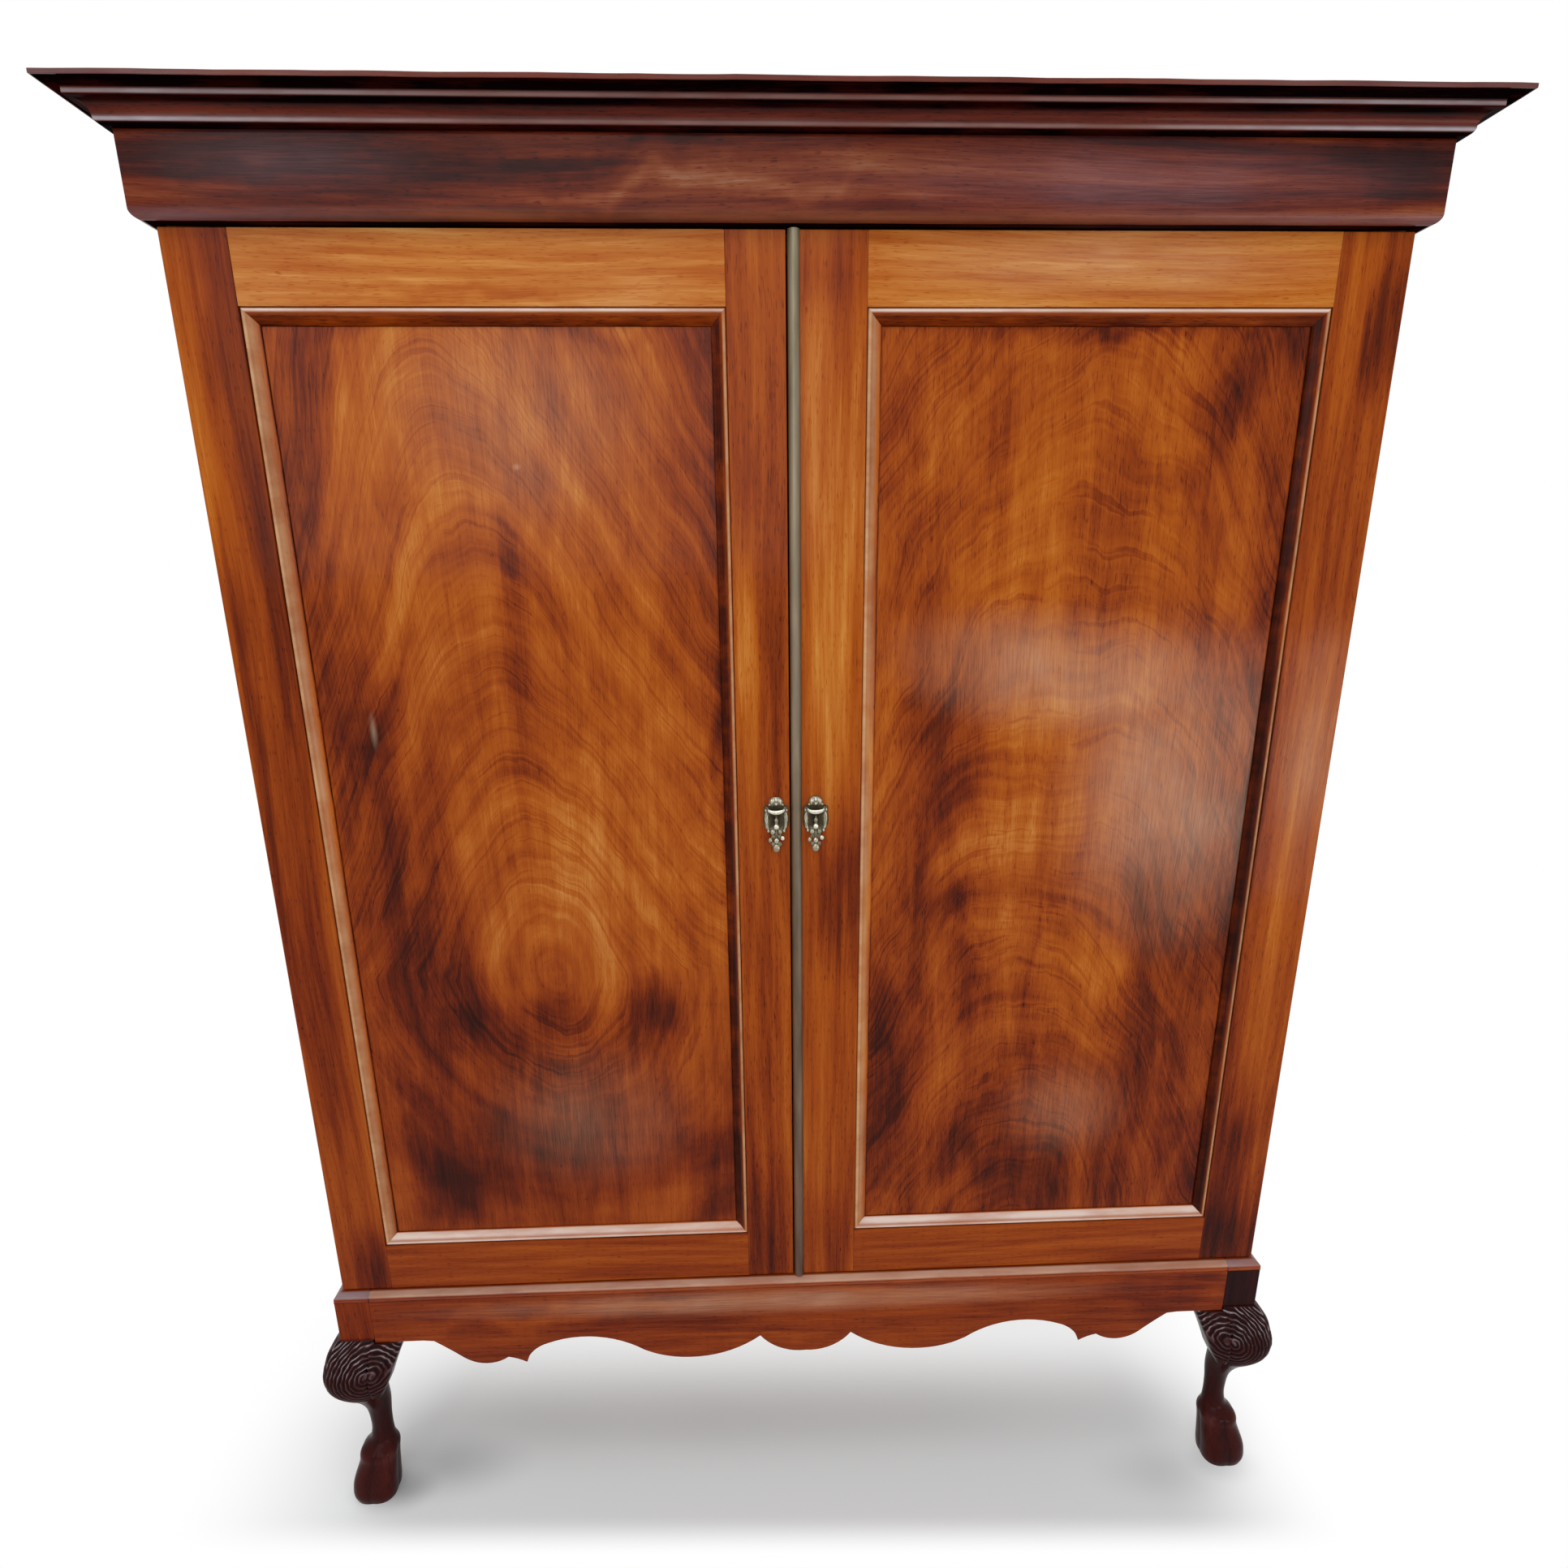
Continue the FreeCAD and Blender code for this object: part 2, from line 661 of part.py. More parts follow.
def corner_blocks():
    """Glue blocks in the four corners of the stand and of the cornice."""
    blocks = []
    stand_x = rail_back
    for side in (-1, 1):
        for depth in (side_start, side_end - s.block_side):
            x_low = stand_x - s.block_side if side > 0 else -stand_x
            blocks.append(box(x_low, x_low + s.block_side, depth, depth + s.block_side,
                              rail_top - s.block_height, rail_top))
        x_low = frieze_inside - s.block_side if side > 0 else -frieze_inside
        for depth in (door_face + frieze_inner, back - s.board - s.block_side):
            blocks.append(box(x_low, x_low + s.block_side, depth, depth + s.block_side,
                              carcase_head, carcase_head + s.block_height))
    return group(blocks)


keep(corner_blocks(), "glue_blocks")

# Hinges, and the recesses that their leaves lie in

hinge_travel = s.door_height - s.hinge_end_gap * 2 - s.hinge_length
hinge_feet = [door_foot + s.hinge_end_gap + hinge_travel * share for share in HINGE_SHARES]
hinge_axis = half_carcase + s.knuckle_out
leaf_end = inside_half + s.leaf_inset
barrel = (s.hinge_length - s.knuckle_gap) / 2


def leaf_feet(on_frame):
    """Lower ends of the leaves on one side: the frame's are the lower half of each hinge."""
    lift = ZERO if on_frame else barrel + s.knuckle_gap
    return [foot + lift for foot in hinge_feet]


def leaf_recesses(side, on_frame, y_low, y_high):
    """Recesses for the hinge leaves of one side."""
    x_low = leaf_end if side > 0 else -half_carcase - OVERRUN
    x_high = half_carcase + OVERRUN if side > 0 else -leaf_end
    return [box(x_low, x_high, y_low, y_high, foot, foot + barrel) for foot in leaf_feet(on_frame)]


def hinge_leaves(side, on_frame):
    """One half of each hinge of a door: a flat leaf that runs into its knuckle."""
    y_low = carcase_front if on_frame else door_back - s.leaf_thickness
    x = hinge_axis * side
    leaves = []
    for foot in leaf_feet(on_frame):
        plate_x = (leaf_end, hinge_axis) if side > 0 else (-hinge_axis, -leaf_end)
        plate = box(*plate_x, y_low, y_low + s.leaf_thickness, foot, foot + barrel)
        knuckle = rod(s.knuckle_radius, barrel, x, hinge_line, foot)
        bore = rod(s.hinge_pin_radius + s.pin_fit, barrel + OVERRUN * 2, x, hinge_line, foot - OVERRUN)
        leaves.append(cut(fused([plate, knuckle]), [bore]))
    return leaves


hinge_pins = []
for side in (-1, 1):
    for foot in hinge_feet:
        hinge_pins.append(rod(s.hinge_pin_radius, s.hinge_length, hinge_axis * side, hinge_line, foot))
keep(group(hinge_leaves(-1, True) + hinge_leaves(1, True)), "hinge_frame_leaves")
keep(group(hinge_pins), "hinge_pins")
keep(group(hinge_leaves(-1, False)), "left_hinge_door_leaves")
keep(group(hinge_leaves(1, False)), "right_hinge_door_leaves")

# Carcase


def carcase_side(side):
    """A side board, rebated at the back for the back panels and recessed in front for the hinge leaves."""
    x_low = inside_half if side > 0 else -half_carcase
    board = box(x_low, x_low + s.board, carcase_front, back, carcase_floor, carcase_head)
    rebate_x = (inside_half, inside_half + s.back_rebate)
    if side < 0:
        rebate_x = (-inside_half - s.back_rebate, -inside_half)
    rebate = box(*rebate_x, inside_back, back + OVERRUN, carcase_floor - OVERRUN, carcase_head + OVERRUN)
    leaves = leaf_recesses(side, True, carcase_front - OVERRUN, carcase_front + s.leaf_thickness)
    return cut(board, [rebate, *leaves])


bolt_x = left_meeting - s.bolt_inset
bolt_y = door_back + s.bolt_stand
ceiling = carcase_head - s.board
floor = carcase_floor + s.board


def bolt_hole(z_low, z_high):
    """The hole that a thrown bolt enters."""
    half_width = s.bolt_width / 2 + s.keeper_play
    half_thickness = s.bolt_thickness / 2 + s.keeper_play
    return box(bolt_x - half_width, bolt_x + half_width, bolt_y - half_thickness, bolt_y + half_thickness,
               z_low - OVERRUN, z_high + OVERRUN)


def mortised_board(z_low, z_high):
    """Top or bottom board with the hole that a bolt locks into."""
    board = box(-inside_half, inside_half, carcase_front, inside_back, z_low, z_high)
    return cut(board, [bolt_hole(z_low, z_high)])


keep(carcase_side(-1), "carcase_side_left")
keep(carcase_side(1), "carcase_side_right")
keep(mortised_board(ceiling, carcase_head), "carcase_top")
keep(mortised_board(carcase_floor, floor), "carcase_bottom")
back_edge = inside_half + s.back_rebate
back_boards = [box(-back_edge, ZERO, inside_back, back, carcase_floor, carcase_head),
               box(ZERO, back_edge, inside_back, back, carcase_floor, carcase_head)]
keep(group(back_boards), "back_panels")
muntin_front = inside_back - s.muntin_thickness
keep(box(-s.muntin_width / 2, s.muntin_width / 2, muntin_front, inside_back, floor, ceiling), "back_muntin")

shelf_foot = ceiling - s.hat_space - s.shelf_thickness
shelf_front = carcase_front + s.shelf_setback
keep(box(-inside_half, inside_half, shelf_front, muntin_front, shelf_foot, shelf_foot + s.shelf_thickness),
     "hat_shelf")
battens = [
    box(-inside_half, s.batten - inside_half, shelf_front, muntin_front, shelf_foot - s.batten, shelf_foot),
    box(inside_half - s.batten, inside_half, shelf_front, muntin_front, shelf_foot - s.batten, shelf_foot),
]
keep(group(battens), "shelf_battens")

rail_height = shelf_foot - s.rail_drop
rail_depth = (carcase_front + inside_back) / 2
rail_half = inside_half - s.cup_base - s.rail_fit
keep(rod(s.rail_radius, rail_half * 2, -rail_half, rail_depth, rail_height, "x"), "hanging_rail")


def rail_socket(side):
    """A turned cup that holds one end of the hanging rail."""
    body = new_body("Socket")
    mouth = s.rail_radius + s.rail_fit
    rim = mouth + s.cup_wall
    total = s.cup_base + s.cup_depth
    outline = draw(sketch_on(body, "XZ_Plane"), [
        ("line", ZERO, ZERO),
        ("line", rim, ZERO),
        ("line", rim, total),
        ("line", mouth, total),
        ("line", mouth, s.cup_base),
        ("line", ZERO, s.cup_base),
    ])
    revolution = body.newObject("PartDesign::Revolution", "Turned")
    revolution.Profile = outline
    revolution.ReferenceAxis = (outline, ["V_Axis"])
    revolution.Angle = 360
    turn(body, (0, 1, 0), -90 * side)
    return put(body, inside_half * side, rail_depth, rail_height)


keep(group([rail_socket(-1), rail_socket(1)]), "rail_sockets")

# Doors

groove_low = door_face + s.panel_recess
groove_high = groove_low + s.panel_thickness
lower_edge = door_foot + s.bottom_rail_width
upper_edge = door_head - s.top_rail_width


def stile(label, x_low, x_high, opening_on_right, recess_side=0):
    """An upright of a door frame, grooved for the panel and mortised for the rails."""
    board = box(x_low, x_high, door_face, door_back, door_foot, door_head)

    def pocket(depth, z_low, z_high):
        if opening_on_right:
            return box(x_high - depth, x_high + OVERRUN, groove_low, groove_high, z_low, z_high)
        return box(x_low - OVERRUN, x_low + depth, groove_low, groove_high, z_low, z_high)

    tools = [
        pocket(s.groove_depth, lower_edge - OVERRUN / 2, upper_edge + OVERRUN / 2),
        pocket(s.tenon_length, door_foot + s.tenon_shoulder, lower_edge - s.tenon_shoulder),
        pocket(s.tenon_length, upper_edge + s.tenon_shoulder, door_head - s.tenon_shoulder),
    ]
    if recess_side:
        tools += leaf_recesses(recess_side, False, door_back - s.leaf_thickness, door_back + OVERRUN)
    return keep(cut(board, tools), label)


def rail(label, x_low, x_high, z_low, z_high, opening_above):
    """A cross rail with a tenon at each end, grooved for the panel."""
    board = box(x_low, x_high, door_face, door_back, z_low, z_high)
    tenon = box(x_low - s.tenon_length, x_high + s.tenon_length, groove_low, groove_high,
                z_low + s.tenon_shoulder, z_high - s.tenon_shoulder)
    if opening_above:
        groove = box(x_low, x_high, groove_low, groove_high, z_high - s.groove_depth, z_high + OVERRUN)
    else:
        groove = box(x_low, x_high, groove_low, groove_high, z_low - OVERRUN, z_low + s.groove_depth)
    return keep(fused([cut(board, [groove]), tenon]), label)


def panel_moulding(label, x_low, x_high):
    """Four mitred strips round the panel, each its own piece."""
    height = s.panel_recess - s.panel_mould_setback
    face = scaled(PANEL_MOULD_SHARES, s.panel_mould_width, height)
    section = face + [("line", ZERO, ZERO), ("line", -s.panel_mould_width, ZERO)]
    half_width = (x_high - x_low) / 2
    half_height = (upper_edge - lower_edge) / 2
    centre_x = (x_high + x_low) / 2
    centre_z = (upper_edge + lower_edge) / 2
    strips = []
    for quarter_turns in range(4):
        along = half_width if quarter_turns % 2 == 0 else half_height
        away = half_height if quarter_turns % 2 == 0 else half_width
        strip = mitred_strip("Bead", section, ZERO, s.panel_mould_width, -along, True, along, True)
        stand_up = FreeCAD.Rotation(FreeCAD.Vector(1, 0, 0), 90)
        round_panel = FreeCAD.Rotation(FreeCAD.Vector(0, 0, 1), 90 * quarter_turns)
        strip.Placement = FreeCAD.Placement(FreeCAD.Vector(), stand_up.multiply(round_panel))
        offsets = ((ZERO, -away), (away, ZERO), (ZERO, away), (-away, ZERO))[quarter_turns]
        put(strip, centre_x + offsets[0], groove_low, centre_z + offsets[1])
        strips.append(strip)
    return keep(group(strips), label)


def door(name, x_low, x_high, low_stile, high_stile, hinge_side):
    """Stiles, rails, panel and moulding of one door."""
    opening_low = x_low + low_stile
    opening_high = x_high - high_stile
    outer = "hinge_stile" if hinge_side < 0 else "lock_stile"
    inner = "lock_stile" if hinge_side < 0 else "hinge_stile"
    stile(name + "_" + outer, x_low, opening_low, True, hinge_side if hinge_side < 0 else 0)
    stile(name + "_" + inner, opening_high, x_high, False, hinge_side if hinge_side > 0 else 0)
    rail(name + "_top_rail", opening_low, opening_high, upper_edge, door_head, False)
    rail(name + "_bottom_rail", opening_low, opening_high, door_foot, lower_edge, True)
    panel = box(opening_low - s.groove_depth, opening_high + s.groove_depth, groove_low, groove_high,
                lower_edge - s.groove_depth, upper_edge + s.groove_depth)
    keep(panel, name + "_panel")
    panel_moulding(name + "_moulding", opening_low, opening_high)


door("left_door", -half_carcase, left_meeting, s.left_hinge_stile, s.left_lock_stile, -1)
door("right_door", right_meeting, half_carcase, s.right_lock_stile, s.right_hinge_stile, 1)

bead = rod(s.astragal_radius, s.door_height, right_meeting + s.astragal_radius, door_face, door_foot)
bead.Angle = 180
bead.Placement.Rotation = FreeCAD.Rotation(FreeCAD.Vector(0, 0, 1), 180)
keep(bead, "meeting_bead")

# Handles


def drop_outline():
    """The beaded drop from the bail down one side; the last bead ends on its middle line."""
    neck = s.drop_bead * DROP_NECK_SHARE
    top = -s.bail_sag
    steps = [("line", ZERO, top), ("line", neck, top)]
    for index, (end_share, swell_share) in enumerate(DROP_BEAD_SHARES):
        end = s.drop_length * -end_share
        side = neck if index < len(DROP_BEAD_SHARES) - 1 else ZERO
        steps.append(("arc", s.drop_bead * swell_share, (top + end) / 2, side, end))
        top = end
    return steps


def bail(name, x, axis_y, axis_z, lug_inner, lug_outer):
    """A cast swag between two eyes, with a beaded drop; its pins turn in the lugs."""
    wire = s.bail_half_wire
    span = s.bail_half_span
    swag = new_body(name + "_swag")
    pad(swag, draw(sketch_on(swag, "XZ_Plane"), [
        ("line", wire - span, ZERO),
        ("arc", ZERO, wire - s.bail_sag, span - wire, ZERO),
        ("line", span + wire, ZERO),
        ("arc", ZERO, -wire - s.bail_sag, -span - wire, ZERO),
    ]), wire * 2)
    put(swag, x, axis_y + wire, axis_z)
    drop = new_body(name + "_drop")
    half = drop_outline()
    pad(drop, draw(sketch_on(drop, "XZ_Plane"), half[1:] + mirrored_back(half)), wire * 2)
    put(drop, x, axis_y + wire, axis_z)
    pieces = [swag, drop]
    for side in (-1, 1):
        middle = x + span * side
        eye_half = lug_inner - s.bail_play - span
        pieces.append(box(middle - eye_half, middle + eye_half, axis_y - wire, axis_y + wire,
                          axis_z - wire, axis_z + wire))
        pin_low = middle if side > 0 else x - lug_outer
        pieces.append(rod(s.bail_pin, lug_outer - span, pin_low, axis_y, axis_z, "x"))
    return keep(fused(pieces), name + "_bail")


def handle(name, x):
    """A cast backplate with two lugs, and the bail that swings in them."""
    body = new_body(name + "_plate_body")
    crown_half = scaled(HANDLE_CROWN_SHARES, s.handle_half_width, s.handle_crown)
    crown_half.insert(0, ("line", ZERO, s.handle_crown))
    tail_half = scaled(HANDLE_TAIL_SHARES, s.handle_half_width, -s.handle_tail)
    half = crown_half + tail_half
    outline = draw(sketch_on(body, "XZ_Plane"), half[1:] + mirrored_back(half))
    pad(body, outline, s.handle_plate_thickness)
    slots = sketch_on(body, "XZ_Plane")
    low_x, high_x, low_z, high_z = HANDLE_SLOT_SHARES
    for side in (-1, 1):
        near = s.handle_half_width * (low_x * side)
        far = s.handle_half_width * (high_x * side)
        draw(slots, [
            ("line", near, s.handle_tail * -low_z),
            ("line", far, s.handle_tail * -low_z),
            ("line", far, s.handle_tail * -high_z),
            ("line", near, s.handle_tail * -high_z),
        ])
    pocket_through(body, slots)
    axis_z = door_foot + s.handle_lift
    axis_y = door_face - s.bail_stand
    put(body, x, door_face, axis_z)
    lug_inner = s.bail_half_span + s.bail_half_wire + s.bail_play
    lug_outer = lug_inner + s.lug_width
    lugs = []
    for side in (-1, 1):
        low = x + lug_inner if side > 0 else x - lug_outer
        lugs.append(box(low, low + s.lug_width, axis_y - s.lug_lip, door_face,
                        axis_z - s.lug_height / 2, axis_z + s.lug_height / 2))
    bore_start = x - lug_outer - OVERRUN
    bore = rod(s.bail_pin + s.pin_fit, (lug_outer + OVERRUN) * 2, bore_start, axis_y, axis_z, "x")
    keep(cut(fused([body, *lugs]), [bore]), name + "_plate")
    bail(name, x, axis_y, axis_z, lug_inner, lug_outer)


handle("left_handle", left_meeting - s.left_handle_inset)
handle("right_handle", right_meeting + s.right_handle_inset)

# Flat bolts inside the left door, and their keepers


def flat_bolt(up):
    """Plate with two staples and the bolt that slides in them; up is 1 at the top, -1 at the foot."""
    lock_face = ceiling if up > 0 else floor
    tip = lock_face - s.bolt_tip_gap * up
    plate_far = tip - s.bolt_plate_length * up
    plate_z = (plate_far, tip) if up > 0 else (tip, plate_far)
    plate = box(bolt_x - s.bolt_plate_width / 2, bolt_x + s.bolt_plate_width / 2, door_back,
                door_back + s.bolt_plate_thickness, *plate_z)
    half_width = s.bolt_width / 2
    half_thickness = s.bolt_thickness / 2
    staple_half = half_width + s.bolt_wall
    staple_back = bolt_y + half_thickness + s.bolt_wall
    staples = []
    for start in (plate_z[0], plate_z[1] - s.bolt_bridge_length):
        staples.append(box(bolt_x - staple_half, bolt_x + staple_half, door_back, staple_back,
                           start, start + s.bolt_bridge_length))
    slot_width = half_width + s.pin_fit
    slot_thickness = half_thickness + s.pin_fit
    slot = box(bolt_x - slot_width, bolt_x + slot_width, bolt_y - slot_thickness, bolt_y + slot_thickness,
               plate_z[0] - OVERRUN, plate_z[1] + OVERRUN)
    case = cut(fused([plate, *staples]), [slot])
    far_end = plate_far - s.bolt_throw * up
    bolt_z = (far_end, tip) if up > 0 else (tip, far_end)
    bar = box(bolt_x - half_width, bolt_x + half_width, bolt_y - half_thickness, bolt_y + half_thickness,
              *bolt_z)
    knob_z = tip - (s.bolt_bridge_length + s.bolt_throw + s.bolt_knob_radius * 2) * up
    knob = rod(s.bolt_knob_radius, half_thickness + s.bolt_knob_length, bolt_x, bolt_y, knob_z, "y")
    return case, fused([bar, knob])


def keeper(up):
    """A plate on the board with the hole that the bolt enters."""
    z_low = ceiling - s.keeper_thickness if up > 0 else floor
    z_high = z_low + s.keeper_thickness
    half = s.keeper_side / 2
    plate = box(bolt_x - half, bolt_x + half, carcase_front, bolt_y + half, z_low, z_high)
    return cut(plate, [bolt_hole(z_low, z_high)])


top_case, top_bolt = flat_bolt(1)
foot_case, foot_bolt = flat_bolt(-1)
keep(group([top_case, foot_case]), "bolt_cases")
keep(top_bolt, "top_bolt")
keep(foot_bolt, "bottom_bolt")
keep(group([keeper(1), keeper(-1)]), "bolt_keepers")

# Lock inside the right door, and its strike on the left door

lock_centre = door_foot + s.lock_lift
lock_left = right_meeting + s.lock_edge_gap
lock_case = box(lock_left, lock_left + s.lock_width, door_back, door_back + s.lock_depth,
                lock_centre - s.lock_height / 2, lock_centre + s.lock_height / 2)
channel_half = s.lock_bolt_height / 2 + s.lock_play
channel = box(lock_left - OVERRUN, lock_left + s.lock_width - s.lock_wall, door_back + s.lock_wall,
              door_back + s.lock_depth - s.lock_wall, lock_centre - channel_half, lock_centre + channel_half)
keep(cut(lock_case, [channel]), "lock_case")
bolt_low = door_back + s.lock_wall + s.lock_play
bolt_high = door_back + s.lock_depth - s.lock_wall - s.lock_play
keep(box(lock_left + s.lock_play, lock_left + s.lock_play + s.lock_bolt_length, bolt_low, bolt_high,
         lock_centre - s.lock_bolt_height / 2, lock_centre + s.lock_bolt_height / 2), "lock_bolt")
strike_right = left_meeting - s.lock_edge_gap
strike_half = s.lock_bolt_height / 2 + s.strike_play + s.strike_wall
strike = box(strike_right - s.strike_width, strike_right, door_back, door_back + s.lock_depth,
             lock_centre - strike_half, lock_centre + strike_half)
hole_half = strike_half - s.strike_wall
strike_hole = box(strike_right - s.strike_width + s.strike_wall, strike_right + OVERRUN,
                  bolt_low - s.strike_play, bolt_high + s.strike_play,
                  lock_centre - hole_half, lock_centre + hole_half)
keep(cut(strike, [strike_hole]), "lock_strike")

doc.recompute()

# Every object has to be sound before a file is written
for obj in doc.Objects:
    if "Invalid" in obj.State or "Error" in obj.State:
        raise RuntimeError(obj.Label + " failed: " + str(obj.State))
for label, obj in nodes.items():
    if obj.Shape.isNull() or not obj.Shape.isValid() or not obj.Shape.Solids:
        raise RuntimeError(label + " has no sound shape")

os.makedirs("parts", exist_ok=True)
for label, obj in nodes.items():
    obj.Shape.exportStep("parts/" + label + ".step")
print(len(nodes), "sub-parts written")
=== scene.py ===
"""The looks of a two door mahogany wardrobe on carved cabriole legs.

Metres, +Z up, the doors face -Y, the origin is on the floor under the middle.  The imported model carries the
boards, hinges and locks; this script gives them their finishes and stands finer mouldings, carved legs and
cast handles in the place of the plain ones.
"""

import bpy
import numpy as np
from mathutils import Matrix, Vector
from math import cos, pi, radians, sin, sqrt


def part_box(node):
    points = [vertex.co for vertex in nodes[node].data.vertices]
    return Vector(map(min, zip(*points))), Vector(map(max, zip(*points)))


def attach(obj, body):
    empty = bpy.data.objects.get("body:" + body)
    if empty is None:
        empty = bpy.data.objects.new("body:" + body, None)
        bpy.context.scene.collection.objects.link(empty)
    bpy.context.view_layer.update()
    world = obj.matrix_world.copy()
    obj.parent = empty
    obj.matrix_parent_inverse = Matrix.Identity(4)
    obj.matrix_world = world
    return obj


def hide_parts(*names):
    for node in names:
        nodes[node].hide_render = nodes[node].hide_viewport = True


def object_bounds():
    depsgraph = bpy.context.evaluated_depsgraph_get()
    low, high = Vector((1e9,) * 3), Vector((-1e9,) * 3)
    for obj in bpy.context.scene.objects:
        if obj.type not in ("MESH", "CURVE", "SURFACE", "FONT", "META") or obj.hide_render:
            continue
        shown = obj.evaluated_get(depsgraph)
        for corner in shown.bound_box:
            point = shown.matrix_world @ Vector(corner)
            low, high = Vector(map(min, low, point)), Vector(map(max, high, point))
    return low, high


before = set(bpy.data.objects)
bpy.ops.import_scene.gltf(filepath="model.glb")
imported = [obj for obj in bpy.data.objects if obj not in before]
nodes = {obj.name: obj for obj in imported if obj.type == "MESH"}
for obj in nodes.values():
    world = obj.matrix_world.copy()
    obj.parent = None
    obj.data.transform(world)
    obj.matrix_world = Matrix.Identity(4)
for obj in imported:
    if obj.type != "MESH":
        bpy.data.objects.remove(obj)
cad_box = [list(corner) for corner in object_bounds()]

# Places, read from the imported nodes

door_low, door_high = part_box("left_door_hinge_stile")
cornice_low, cornice_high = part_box("cornice_front")
frieze_low, frieze_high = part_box("frieze_front")
apron_low, apron_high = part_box("front_apron")
dust_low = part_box("dust_board")[0]

door_face = door_low.y
door_back = door_high.y
half_carcase = -door_low.x
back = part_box("back_panels")[1].y
carcase_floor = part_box("carcase_bottom")[0].z
carcase_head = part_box("carcase_top")[1].z
frieze_top = cornice_low.z
crown = cornice_high.z
lip_reach = door_face - cornice_low.y
frieze_reach = door_face - frieze_low.y
frieze_inner = frieze_high.y - door_face
rail_top = apron_high.z
apron_face = apron_low.y
post_inner = apron_high.x
base_reach = door_face - apron_face
base_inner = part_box("base_moulding_front")[1].y - door_face

MM = 0.001
FAR = 100.0
LEG_HEIGHT = 309 * MM


# Surfaces from numbers


def quads(rows, columns, closed):
    """Faces between neighbours of a grid of points, row by row; closed joins the last column to the first."""
    row = np.arange(rows - 1)[:, None] * columns
    column = np.arange(columns if closed else columns - 1)[None, :]
    after = (column + 1) % columns
    corners = [row + column, row + after, row + columns + after, row + columns + column]
    return np.stack(np.broadcast_arrays(*corners), -1).reshape(-1, 4).tolist()


def tube(points):
    """A closed skin over a grid whose rows are closed loops: its quads, and one face over each end loop."""
    rows, columns = points.shape[:2]
    faces = quads(rows, columns, True)
    last = (rows - 1) * columns
    faces.append(list(range(columns))[::-1])
    faces.append(list(range(last, last + columns)))
    return outward(points.reshape(-1, 3), faces)


def outward(points, faces):
    """Turns all faces round if the volume that they enclose, the sum of their fans' triple products, is
    negative."""
    volume = 0.0
    by_size = {}
    for face in faces:
        by_size.setdefault(len(face), []).append(face)
    for size, group in by_size.items():
        corner = points[np.array(group)]
        for index in range(1, size - 1):
            product = np.cross(corner[:, index], corner[:, index + 1])
            volume += float((corner[:, 0] * product).sum())
    return points, [face[::-1] for face in faces] if volume < 0 else faces


def joined(parts):
    """Several closed skins as one list of points and one of faces."""
    points = []
    faces = []
    start = 0
    for part_points, part_faces in parts:
        points.append(part_points)
        faces += [[start + index for index in face] for face in part_faces]
        start += len(part_points)
    return np.concatenate(points), faces


def piece(name, skin, finish, body, stands_for=(), crease=35, grain=None, relief=None):
    """A finished piece: its mesh, smooth up to a crease angle, its finish, and the body that it rides on.
    grain and relief are kept on its points, for finishes that follow them."""
    points, faces = skin
    mesh = bpy.data.meshes.new(name)
    mesh.from_pydata(points.tolist(), [], faces)
    if grain is not None:
        store = mesh.attributes.new("grain", "FLOAT_VECTOR", "POINT")
        store.data.foreach_set("vector", np.ascontiguousarray(grain, np.float32).ravel())
    if relief is not None:
        store = mesh.attributes.new("relief", "FLOAT", "POINT")
        store.data.foreach_set("value", np.ascontiguousarray(relief, np.float32).ravel())
    mesh.shade_smooth()
    mesh.set_sharp_from_angle(angle=radians(crease))
    mesh.materials.append(finish)
    made = bpy.data.objects.new(name, mesh)
    bpy.context.scene.collection.objects.link(made)
    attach(made, body)
    if stands_for:
        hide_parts(*stands_for)
    return made


def arc(start, middle, end, steps):
    """Points on the circle from start through middle to end, without start.  Its centre is where the
    perpendicular bisectors of the two chords meet."""
    start, middle, end = (np.array(point, float) for point in (start, middle, end))
    chords = np.array([middle - start, end - start])
    halves = np.array([(middle @ middle - start @ start) / 2, (end @ end - start @ start) / 2])
    centre = np.linalg.solve(chords, halves)
    angles = [np.arctan2(*(point - centre)[::-1]) for point in (start, middle, end)]
    turn = 2 * pi
    ahead = (angles[2] - angles[0]) % turn
    if (angles[1] - angles[0]) % turn > ahead:
        ahead -= turn
    along = angles[0] + ahead * np.arange(1, steps + 1) / steps
    radius = np.linalg.norm(start - centre)
    return centre + radius * np.stack([np.cos(along), np.sin(along)], -1)


def outline(steps, width, height, arc_steps=12):
    """A closed outline drawn in shares of a width and a height, with its round stretches as arcs."""
    scale = np.array([width, height])
    ends = [np.array(step[-2:]) * scale for step in steps]
    points = []
    for index, step in enumerate(steps):
        if step[0] == "line":
            points.append(ends[index][None])
        else:
            points.append(arc(ends[index - 1], np.array(step[1:3]) * scale, ends[index], arc_steps))
    return np.concatenate(points)


def curve_through(knots, values, at):
    """A smooth line through values at rising knots: cubic Hermite spans whose slope at a knot is the slope
    between its neighbours."""
    knots = np.array(knots, float)
    values = np.array(values, float)
    slopes = np.gradient(values, knots)
    span = np.clip(np.searchsorted(knots, at) - 1, 0, len(knots) - 2)
    width = knots[span + 1] - knots[span]
    t = (at - knots[span]) / width
    start = (1 + 2 * t) * (1 - t) ** 2 * values[span] + t * (1 - t) ** 2 * slopes[span] * width
    end = t ** 2 * (3 - 2 * t) * values[span + 1] + t ** 2 * (t - 1) * slopes[span + 1] * width
    return start + end


def bump(value, middle, reach):
    """A bell: e to the minus square of the distance from the middle, which is counted in reaches."""
    return np.exp(-((value - middle) / reach) ** 2)


def step_up(value, low, high):
    """0 below low, 1 above high, and smooth between."""
    t = np.clip((value - low) / (high - low), 0, 1)
    return t * t * (3 - 2 * t)


